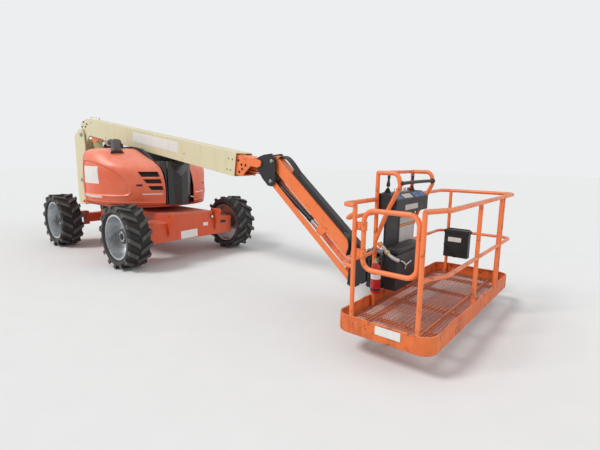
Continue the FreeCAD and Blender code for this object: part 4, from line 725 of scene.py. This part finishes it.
def sideways(side):
    """Right and up of a face that looks to +Y for 1 and to -Y for -1."""
    return (-side, 0, 0), (0, 0, 1)


# Wheels: hub nuts, hub cover and valve of each rim
def around_hub(shape, count, radius, start=0):
    """Copies of a shape evenly round a wheel's axle."""
    angle = np.radians(np.arange(count) * 360 / count + start)
    return copies(shape, radius * np.stack([np.cos(angle), 0 * angle, np.sin(angle)], -1))


def wheel_dress(name, x, side):
    """Nine nuts in a ring, a dark cover with a stepped face and six screws, and a bent valve stem."""
    centre = np.array((x, 0.0, AXLE_Z))
    facing = sideways(side)
    nuts = around_hub(stood(bolt(0.020), centre + (0, side * 0.9975, 0), *facing), 9, 0.152, 10)
    screws = around_hub(stood(bolt(0.010), centre + (0, side * 1.1195, 0), *facing), 6, 0.066)
    new_piece(name + "_nuts", together(nuts, screws), "nut", name)
    cover = turned(((0.128, -0.119), (0.128, -0.112), (0.122, -0.106), (0.122, -0.02), (0.112, -0.006),
                    (0.098, 0.0015), (0.085, 0.0015), (0.082, -0.001), (0.052, -0.001), (0.049, 0.010),
                    (0.040, 0.016), (0, 0.018)), 40)
    new_piece(name + "_hub_cover", stood(cover, centre + (0, side * 1.118, 0), *facing), "black", name)
    stem = hose(centre + np.array(((0.22, side * 0.995, 0.10), (0.225, side * 1.04, 0.105),
                                   (0.25, side * 1.08, 0.115), (0.262, side * 1.10, 0.118))), 0.009)
    tip = stood(turned(((0, 0), (0.006, 0), (0.006, 0.016), (0.004, 0.020), (0, 0.020)), 10),
                centre + (0.262, side * 1.10, 0.118), (0, 0, 1), (side * 0.4, -0.3, 0))
    new_piece(name + "_valve", together(stem, tip), "brass", name)


for end, x in zip(("front", "rear"), WHEEL_X):
    for side, word in ((1, "left"), (-1, "right")):
        wheel_dress("%s_%s_wheel" % (end, word), x, side)


# Chassis: tie-down lugs, bare plates and work lamp
def holed(outline, radius, thick):
    """A flat plate with a round hole: rings of its outline and of the hole, front and back, closed on themselves.
    The outline is drawn about the hole's middle."""
    edge, _ = along_outline(outline, lambda run: np.unique(np.append(np.linspace(0, run[-1], 48), run))[:-1])
    angle = np.arctan2(edge[:, 1], edge[:, 0])
    hole = radius * np.stack([np.cos(angle), np.sin(angle)], -1)
    rings = [np.column_stack([ring, np.full(len(ring), z)])
             for ring, z in ((edge, 0), (edge, thick), (hole, thick), (hole, 0))]
    return grid(np.stack(rings), True, True)


FRONT_FACE = -0.2795        # x of the chassis's front plate, less what its trim sinks in
LAMP = (0.404, 0.69)        # y and z of the work lamp
lug = holed(((-0.048, 0.075), (0.105, 0.075), (0.118, 0.06), (0.118, 0.02), (0.085, -0.05), (0.035, -0.16),
             (-0.010, -0.30), (-0.048, -0.30)), 0.030, 0.031)
lugs = [stood(lug, (-0.234, side * 0.47 + 0.0155, 0.755), *NEARWARD) for side in (-1, 1)]
new_piece("tie_down_lugs", together(*lugs), "tail", "chassis")
front = [stood(plate(0.33, 0.135, 0.006, 0.0015), (FRONT_FACE, -0.07, 0.437), (0, 0.998, 0.03), (0, -0.03, 0.998)),
         stood(plate(0.10, 0.06, 0.004, 0.0015), (FRONT_FACE, 0.27, 0.57), *FORWARD)]
new_piece("chassis_plates", together(*front), "vinyl", "chassis")
black_plate = stood(plate(0.12, 0.05, 0.004, 0.0015), (FRONT_FACE, 0.66, 0.575), *FORWARD)
lamp_body = stood(turned(((0, 0), (0.034, 0), (0.036, 0.010), (0.030, 0.016), (0, 0.016)), 20),
                  (FRONT_FACE - 0.0002, *LAMP), *FORWARD)
lens = stood(turned(((0, 0), (0.027, 0), (0.025, 0.012), (0.016, 0.019), (0, 0.022)), 20), (-0.264, *LAMP), *FORWARD)
new_piece("work_lamp_rim", together(lamp_body, black_plate), "black", "chassis")
new_piece("work_lamp_lens", lens, "lamp", "chassis")

# Main boom: blank sign panels and small bolts
BOOM_HALF, FLY_HALF = 0.16, 0.1308      # half widths of the main boom and of its fly section
signs = [stood(plate(1.48, 0.18, 0.01, 0.0015), (2.92, side * (BOOM_HALF - 0.0005), 0.226), *sideways(side))
         for side in (-1, 1)]
new_piece("boom_sign", laid(together(*signs), BOOM), "vinyl", "boom_outer")


def side_bolts(places, half, size, sides=(-1, 1)):
    """Bolt heads on both sides of the boom, at lengths and heights of its own axes."""
    heads = [stood(bolt(size), (s, side * half, h), *sideways(side)) for side in sides for s, h in places]
    return laid(together(*heads), BOOM)


# Places of the bolts, along and up from the boom's pivot
BOOM_BOLTS = ((4.93, 0.10), (5.01, 0.10), (4.95, 0.26), (5.03, 0.26), (3.842, 0.162), (1.1, 0.07), (0.42, 0.30))
FLY_BOLTS = ((5.13, 0.26), (5.203, 0.21), (5.224, 0.152), (5.287, 0.215), (5.17, 0.10))
TAIL_BOLTS = ((-0.039, 0.168), (0.131, 0.187), (0.03, 0.28), (0.20, 0.25))
new_piece("boom_bolts", side_bolts(BOOM_BOLTS, BOOM_HALF - 0.0005, 0.011), "nut", "boom_outer")


# Console: toggles, levers, films, labels, stop button, dials, and the bar that guards them
DESK_X, DESK_TOP = 3.600, 1.400         # the row of toggles, and the desk it stands on
SEAT = 0.0005                           # how far a small piece sinks into what it sits on
SLOPE_UP = np.array((-0.080, 0, 0.060))
SLOPE_MIDDLE = np.array((3.706, 0.0, 1.3715))


def toggle(y, x=DESK_X):
    """A toggle switch: hexagon collar, rubber boot and tapered lever that leans towards the operator."""
    collar = turned(((0, 0), (0.010, 0), (0.010, 0.004), (0, 0.004)), 6)
    boot = turned(((0.0085, 0.003), (0.0085, 0.008), (0.006, 0.012), (0.0045, 0.014), (0, 0.014)), 14)
    lever = turned(((0.0032, 0.010), (0.0028, 0.022), (0.0042, 0.036), (0.0040, 0.040), (0, 0.042)), 12)
    return stood(together(collar, boot, lever), (x, y, DESK_TOP - SEAT), (0, 1, 0), (-1, 0, 0.12))


def joystick(y, high):
    """A control lever: square flange, bellows boot of five folds, shaft, and a waisted grip with a thumb rocker. The
    boot's radius waves as a cosine while it shrinks, and so does the grip's."""
    flange = plate(0.085, 0.085, 0.01, 0.006)
    fold = np.linspace(0, 1, 41)
    folds = np.column_stack([0.036 - 0.024 * fold + 0.0028 * np.cos(fold * 10 * math.pi), 0.006 + 0.045 * fold])
    shaft = turned(((0.006, 0.045), (0.006, 0.070)), 12)
    t = np.linspace(0, 1, 20)
    waist = 0.0150 + 0.004 * np.cos((t - 0.1) * 2.2 * math.pi)
    grip = np.column_stack([np.append(waist * np.sqrt(1 - t ** 8), 0), np.append(0.066 + high * t, 0.066 + high)])
    rocker = stood(plate(0.018, 0.010, 0.004, 0.006, 0.002), (0, 0.0, 0.068 + high), *SKYWARD)
    return stood(together(flange, turned(folds, 28), shaft, turned(grip, 24), rocker),
                 (3.592, y, DESK_TOP - SEAT), (0, 1, 0), (-1, 0, 0.05))


def slips(rows):
    """Thin plates from a table of width, height, corner radius, thickness, place and the way each faces."""
    return together(*(stood(plate(*sizes), place, *facing) for *sizes, place, facing in rows))


SLOPED = (0, 1, 0), SLOPE_UP
APRON_FACE = 3.6078                     # x of the board's apron, less the seat
switches = [toggle(y) for y in np.arange(-0.315, 0.02, 0.042)] + \
           [toggle(y, 3.632) for y in np.arange(-0.30, 0.0, 0.075)]
films = [(0.40, 0.085, 0.008, 0.0015, (3.603, -0.165, DESK_TOP - SEAT), SKYWARD)]
films += [(0.13, 0.075, 0.005, 0.0015, SLOPE_MIDDLE + (0, y, 0), SLOPED) for y in (-0.43, -0.02, 0.13)]
labels = [(0.036, 0.012, 0.002, 0.0008, (3.571, y, DESK_TOP + 0.0008), SKYWARD)
          for y in np.arange(-0.32, 0.01, 0.062)]
labels += [(0.20, 0.06, 0.004, 0.0012, SLOPE_MIDDLE + (0, -0.235, 0), SLOPED),
           (0.30, 0.055, 0.004, 0.0012, (3.7458, -0.20, 1.262), FORWARD)]
stop = turned(((0.030, 0), (0.030, 0.004), (0.014, 0.005), (0.013, 0.018), (0.023, 0.020), (0.025, 0.026),
               (0.023, 0.033), (0.014, 0.037), (0, 0.038)), 28)
dial = turned(((0, 0), (0.016, 0), (0.016, 0.010), (0.010, 0.012), (0.009, 0.024), (0, 0.025)), 20)
dials = [stood(dial, (3.645, y, DESK_TOP - SEAT), *SKYWARD) for y in (-0.36, 0.03)]
bar = hose(((3.782, -0.575, 1.505), (3.785, -0.40, 1.512), (3.785, 0.08, 1.512), (3.782, 0.245, 1.505)), 0.034)
clamps = [swept(np.array(((3.780, y - 0.013, 1.508), (3.780, y + 0.013, 1.508))), round_section(0.026, 18))
          for y in (-0.545, 0.215)]


# Board beside the console's foot, with its blank sign, stripe and pod
def bulged_box(x0, x1, y0, y1, z0, z1, corner=0.03):
    """A moulded box that stands out along X: rounded outline, face crowned by a parabola and rounded edges."""
    cap = plate(y1 - y0, z1 - z0, corner, x1 - x0, 0.014, 0.012)
    return stood(cap, (x0, (y0 + y1) / 2, (z0 + z1) / 2), *FORWARD)


apron = stood(plate(0.41, 0.60, 0.012, 0.020, 0.004), (3.588, 0.005, 0.905), *FORWARD)
sign = [(0.36, high, 0.004, 0.0012, (APRON_FACE, 0.02, z), FORWARD) for high, z in ((0.225, 0.915), (0.075, 1.095))]
stripe = [(0.36, 0.020, 0.002, 0.0014, (APRON_FACE, 0.02, 1.042), FORWARD)]
pod = bulged_box(3.606, 3.742, -0.465, 0.115, 0.53, 0.80)
lid = bulged_box(3.606, 3.752, -0.475, 0.125, 0.80, 0.865, 0.02)
tie = [hose(((3.752, -0.40, 0.735), (3.775, -0.36, 0.715), (3.765, -0.30, 0.678), (3.760, -0.24, 0.683),
             (3.750, -0.15, 0.690)), 0.013),
       hose(((3.752, -0.335, 0.700), (3.772, -0.31, 0.68), (3.755, -0.30, 0.635)), 0.012)]
for name, shape, finish in (
        ("console_toggles", together(*switches), "nut"),
        ("console_joysticks", together(joystick(-0.44, 0.115), joystick(0.115, 0.10)), "plastic"),
        ("console_films", slips(films), "film"),
        ("console_labels", slips(labels), "placard"),
        ("stop_button", stood(stop, (3.602, 0.042, DESK_TOP - SEAT), *SKYWARD), "knob_red"),
        ("console_dials", together(*dials), "plastic"),
        ("guard_bar", together(bar, *clamps), "rubber"),
        ("board_apron", apron, "plastic"),
        ("board_sign", slips(sign), "placard"),
        ("board_stripe", slips(stripe), "stripe"),
        ("board_pod", together(pod, lid), "plastic"),
        ("pod_cable_tie", together(*tie), "vinyl")):
    new_piece(name, shape, finish, "platform")

# Air line at the post: ribbed conduit, its collars, and the ring that a lanyard clips to. The conduit's radius waves
# as a cosine along its line
line = curve(((3.585, -0.535, 0.905), (3.625, -0.530, 0.868), (3.66, -0.532, 0.835), (3.70, -0.535, 0.800),
              (3.74, -0.50, 0.765), (3.748, -0.45, 0.745)), 5)
ribs = 0.0165 + 0.003 * np.cos(np.linspace(0, 2 * math.pi * 18, len(line)))
new_piece("ribbed_conduit", swept(line, round_section(1.0, 20), swell=ribs), "pewter", "platform")
collar = turned(((0, 0), (0.023, 0), (0.026, 0.005), (0.026, 0.028), (0.020, 0.034), (0, 0.034)), 24)
collars = [stood(collar, place, (0, 1, 0), (0.72, 0, 0.7))
           for place in ((3.578, -0.536, 0.913), (3.655, -0.531, 0.842))]
new_piece("conduit_collars", together(*collars), "brass", "platform")
turn = np.linspace(0, 2 * math.pi, 41)
eye = np.stack([3.600 + 0.026 * np.cos(turn), -0.590 + 0 * turn, 0.900 + 0.026 * np.sin(turn)], -1)
new_piece("lanyard_ring", swept(eye, round_section(0.007, 12), (0, 1, 0)), "rail", "platform")

# Extinguisher: blank label, shoulder, valve with its gauge, levers, hose and straps
BOTTLE = np.array((3.5940, -0.6080, 0.0))


def on_bottle(profile, count=40):
    """A profile of radius and height turned about the bottle's own axis."""
    points, faces = turned(profile, count)
    return points + BOTTLE, faces


label = on_bottle(((0.0478, 0.570), (0.0487, 0.5705), (0.0487, 0.6195), (0.0478, 0.62)))
shoulder = on_bottle(((0.0483, 0.672), (0.0475, 0.686), (0.043, 0.700), (0.034, 0.712), (0.0235, 0.719),
                      (0.0235, 0.724), (0, 0.724)))
valve = on_bottle(((0.0205, 0.724), (0.0215, 0.728), (0.0215, 0.752), (0.016, 0.756), (0.016, 0.775), (0, 0.776)), 20)
gauge = stood(turned(((0, 0), (0.014, 0), (0.014, 0.008), (0, 0.010)), 20), BOTTLE + (0.014, -0.012, 0.765),
              (0.5, 0.86, 0), (0, 0, 1))
flat = ((-0.009, -0.002), (0.009, -0.002), (0.009, 0.002), (-0.009, 0.002))
levers = [swept(curve(BOTTLE + np.array(path)), flat) for path in
          (((0.0, 0.005, 0.768), (0.03, -0.03, 0.772), (0.065, -0.065, 0.758)),
           ((0.0, 0.005, 0.776), (0.03, -0.03, 0.795), (0.070, -0.070, 0.805)))]
drop = hose(BOTTLE + np.array(((0.0, 0.016, 0.764), (0.0, 0.052, 0.758), (0.020, 0.060, 0.69), (0.034, 0.046, 0.60),
                               (0.034, 0.044, 0.53))), 0.013)
straps = [on_bottle(((0.0484, z), (0.0500, z + 0.001), (0.0500, z + 0.019), (0.0484, z + 0.020)))
          for z in (0.455, 0.635)]
for name, shape, finish, slot in (
        ("label", label, "vinyl", "red_paint"), ("shoulder", shoulder, "red", "red_paint"),
        ("valve", together(valve, gauge), "brass", "dark_metal"),
        ("levers", together(*levers), "black", "dark_metal"), ("hose", drop, "rubber", "dark_metal"),
        ("straps", together(*straps), "black", "dark_metal")):
    new_piece("bottle_" + name, shape, finish, "platform")

# Manual box: overhanging lid, blank label and the strap across it; blank placard on the toe board
lid = stood(plate(0.312, 0.045, 0.008, 0.098, 0.003), (3.795, 1.198, 0.830), *NEARWARD)
hinge = swept(np.array(((3.66, 1.196, 0.858), (3.93, 1.196, 0.858))), round_section(0.006, 12))
band = swept(curve(((3.650, 1.1020, 0.665), (3.70, 1.1008, 0.60), (3.79, 1.1005, 0.515), (3.80, 1.1020, 0.500))),
             ((-0.0012, -0.016), (0.0012, -0.016), (0.0012, 0.016), (-0.0012, 0.016)), (1, 0, 1))
label = slips([(0.164, 0.058, 0.004, 0.0012, (3.776, 1.1036, 0.728), NEARWARD)])
placard = slips([(0.228, 0.075, 0.004, 0.0012, (4.04, -1.2006, 0.330), NEARWARD)])
for name, shape, finish, slot in (
        ("manual_box_lid", together(lid, hinge), "plastic", "panel_plastic"),
        ("manual_box_label", label, "vinyl", "panel_plastic"), ("manual_box_strap", band, "black_and_painted_shade", "panel_plastic"),
        ("toe_placard", placard, "vinyl", "deck_paint")):
    new_piece(name, shape, finish, "platform")


# Hydraulic hoses, each short and clipped to one body
def bundle(points, shifts, diameter):
    """Several hoses side by side: the same line shifted along Y, each a little further out in its bends."""
    line = np.asarray(points, float)
    bow = np.sin(np.linspace(0, math.pi, len(line)))[:, None]
    middle = line.mean(0)
    return together(*(hose(line + (0, y, 0) + bow * 0.10 * k / len(shifts) * (line - middle), diameter)
                      for k, y in enumerate(shifts)))


down_jib = bundle(((2.86, -0.045, 0.86), (2.93, -0.10, 0.835), (2.975, -0.125, 0.775), (2.985, -0.13, 0.70),
                   (2.950, -0.13, 0.63), (2.985, -0.12, 0.57), (3.02, -0.10, 0.52)), (0, 0.022, -0.022, 0.044), 0.017)
up_jib = bundle(((0.46, 0, 0.140), (0.36, 0, 0.155), (0.26, 0, 0.168), (0.16, 0, 0.172), (0.09, 0, 0.155),
                 (0.05, 0, 0.120), (0.045, 0, 0.07)), (-0.05, -0.028, -0.006, 0.016, 0.040), 0.018)
over_tail = bundle(((-3.98, 0, 2.40), (-4.06, 0, 2.475), (-4.16, 0, 2.495), (-4.27, 0, 2.475), (-4.31, 0, 2.41),
                    (-4.27, 0, 2.34), (-4.20, 0, 2.26)), (-0.07, -0.04, -0.01, 0.02, 0.05), 0.022)
steer = [hose(((-2.25, -0.444, 0.70 + d), (-2.42, -0.452, 0.745 + d), (-2.62, -0.452, 0.750 + d),
               (-2.80, -0.44, 0.740 + d), (-2.90, -0.36, 0.71 + d / 2), (-2.98, -0.31 + d / 2, 0.65),
               (-3.01, -0.29 + d, 0.57)), 0.020) for d in (-0.05, -0.025, 0.0, 0.025)]
for name, shape, body in (("jib_end_hoses", down_jib, "jib_upper"), ("jib_top_hoses", laid(up_jib, JIB), "jib_upper"),
                          ("tail_hoses", over_tail, "boom_outer"), ("steer_hoses", together(*steer), "chassis")):
    new_piece(name, shape, "rubber", body, sharp=60)
clips = [stood(plate(0.030, 0.13, 0.006, 0.030, 0.003), (x, -0.4295, z), *NEARWARD)
         for x, z in ((-2.40, 0.730), (-2.66, 0.737))]
new_piece("steer_hose_clips", together(*clips), "nut", "chassis")

# Fly nose and boom tail: bolt heads in the near-black painted shade of bolt holes
new_piece("fly_nose_bolts", side_bolts(FLY_BOLTS, FLY_HALF, 0.015), "black_and_painted_shade", "boom_inner")
new_piece("tail_bolts", side_bolts(TAIL_BOLTS, BOOM_HALF - 0.0002, 0.016), "black_and_painted_shade", "boom_outer")

# Exhaust duct that runs back over the right hood, with the flange it rises from
duct = swept(curve(((-1.36, -0.715, 1.765), (-1.43, -0.69, 1.825), (-1.56, -0.64, 1.895), (-1.70, -0.57, 1.960),
                    (-1.80, -0.50, 1.985))), rounded_outline(0.11, 0.15, 0.045, 8), (0, 1, 0))
flange = swept(curve(((-1.350, -0.720, 1.762), (-1.385, -0.708, 1.788))), rounded_outline(0.16, 0.20, 0.06, 8),
               (0, 1, 0))
new_piece("exhaust_elbow", together(duct, flange), "steel", "right_lid")


# Black returns that close the gaps between the front cover and the hoods
def cover_return(side):
    """A sheet 6 mm thick that curls back from the cover's edge, and leans back as the square of its height."""
    low, high = 0.925, 1.66
    wing = np.array(((-0.665, 0.150, 0), (-0.650, 0.200, 0), (-0.662, 0.235, 0), (-0.700, 0.262, 0),
                     (-0.760, 0.277, 0), (-0.860, 0.280, 0)))
    x, y, _ = curve(wing, 3).T
    level = np.linspace(low, high, 14)[:, None]
    sheet = np.stack([x - 0.03 * ((level - low) / (high - low)) ** 2, y * side + 0 * level, level + 0 * x], -1)
    return grid(np.concatenate([sheet, (sheet + (-0.006, -0.002 * side, 0))[::-1]]), close_rows=True)


# The returns, and the latch of each hood: a near-black sheet of painted shade where its slot is
for side, word in SIDES:
    new_piece(word + "_cover_return", cover_return(side), "cover", "turntable")
for side, word in SIDES:
    latch = on_hood(side, 0.925, 0.985, 1.245, 1.275, 0.004, 8, 5)
    new_piece(word + "_hood_latch", latch, "black_and_painted_shade", word + "_lid")


# Caps and keeper bolts over the pivot pins
def pin_caps(places, half, radius):
    """On both sides of each pin: a stepped cap, a keeper bar and its bolt."""
    cap = turned(((radius, 0), (radius, 0.004), (0.8 * radius, 0.007), (0.8 * radius, 0.009), (0.35 * radius, 0.010),
                  (0, 0.010)), 28)
    keeper = plate(2.1 * radius, 0.6 * radius, 0.25 * radius, 0.008)
    parts = ((cap, 0, 0), (keeper, 1.1 * radius, 0.004), (bolt(0.35 * radius), 1.8 * radius, 0.011))
    return together(*(stood(shape, (x + along, side * (half + lift), z), *sideways(side))
                      for x, z in places for side in (-1, 1) for shape, along, lift in parts))


# Pins as (x, z); after them come the half width they pass through and the cap's radius
UPRIGHT_PINS = ((-4.05, 2.20), (-4.16, 1.20), (-3.98, 1.46))
KNUCKLE_PINS = ((1.46, 1.66), (1.69, 1.69), (1.67, 1.42))
new_piece("upright_pin_caps", pin_caps(UPRIGHT_PINS, 0.2115, 0.042), "nut", "boom_upright")
new_piece("knuckle_pin_caps", pin_caps(KNUCKLE_PINS, 0.1075, 0.024), "nut", "nose_knuckle")


# Stage and light
def floor_material():
    """Matt pale floor, clouded a little in patches of 0.3 m."""
    material, tree, place = new_material("pale_floor")
    _, cloud = patches(tree, place, 3.0, 3.0, 0.5, 0.3, 0.7, 0.5)
    connect(tree, tree.nodes["Principled BSDF"],
            {"Base Color": layered(tree, "#DEDEDC", ((cloud, "#E2E2E0"),)), "Roughness": 0.9})
    return material


def stage_and_light():
    half = 60.0
    mesh = bpy.data.meshes.new("floor")
    corners = ((-half, -half), (half, -half), (half, half), (-half, half))
    mesh.from_pydata([(x, y, -0.002) for x, y in corners], [], [(0, 1, 2, 3)])
    mesh.materials.append(floor_material())
    floor = bpy.data.objects.new("floor", mesh)
    bpy.context.scene.collection.objects.link(floor)
    # The sky lights the machine softly, and shows paler to the eye, in mirrors and through glass
    world = bpy.data.worlds.new("studio")
    world.use_nodes = True
    tree = world.node_tree
    tree.nodes.clear()
    ray = add(tree, "LightPath")
    seen = add(tree, "Math", {0: ray.outputs["Is Camera Ray"], 1: ray.outputs["Is Glossy Ray"]}, operation="MAXIMUM")
    seen_too = add(tree, "Math", {0: seen, 1: ray.outputs["Is Transmission Ray"]}, operation="MAXIMUM")
    light = add(tree, "Background", {"Color": linear("#F2F4F8"), "Strength": 0.62})
    shown = add(tree, "Background", {"Color": linear("#EDEEF0"), "Strength": 1.0})
    add(tree, "OutputWorld", {"Surface": add(tree, "MixShader", {0: seen_too, 1: light, 2: shown})})
    bpy.context.scene.world = world
    # A broad key lamp from high on the camera's right, and a weaker fill from the other side
    for name, power, spread, tilt, turn in (("key", 1.9, 18, 42, -28), ("fill", 0.6, 50, 60, 110)):
        lamp = bpy.data.lights.new(name, "SUN")
        lamp.energy = power
        lamp.angle = math.radians(spread)
        holder = bpy.data.objects.new(name, lamp)
        turned_to = Matrix.Rotation(math.radians(turn), 4, "Z") @ Matrix.Rotation(math.radians(tilt), 4, "X")
        holder.matrix_world = Matrix.Translation((0, 0, 8)) @ turned_to
        bpy.context.scene.collection.objects.link(holder)


stage_and_light()
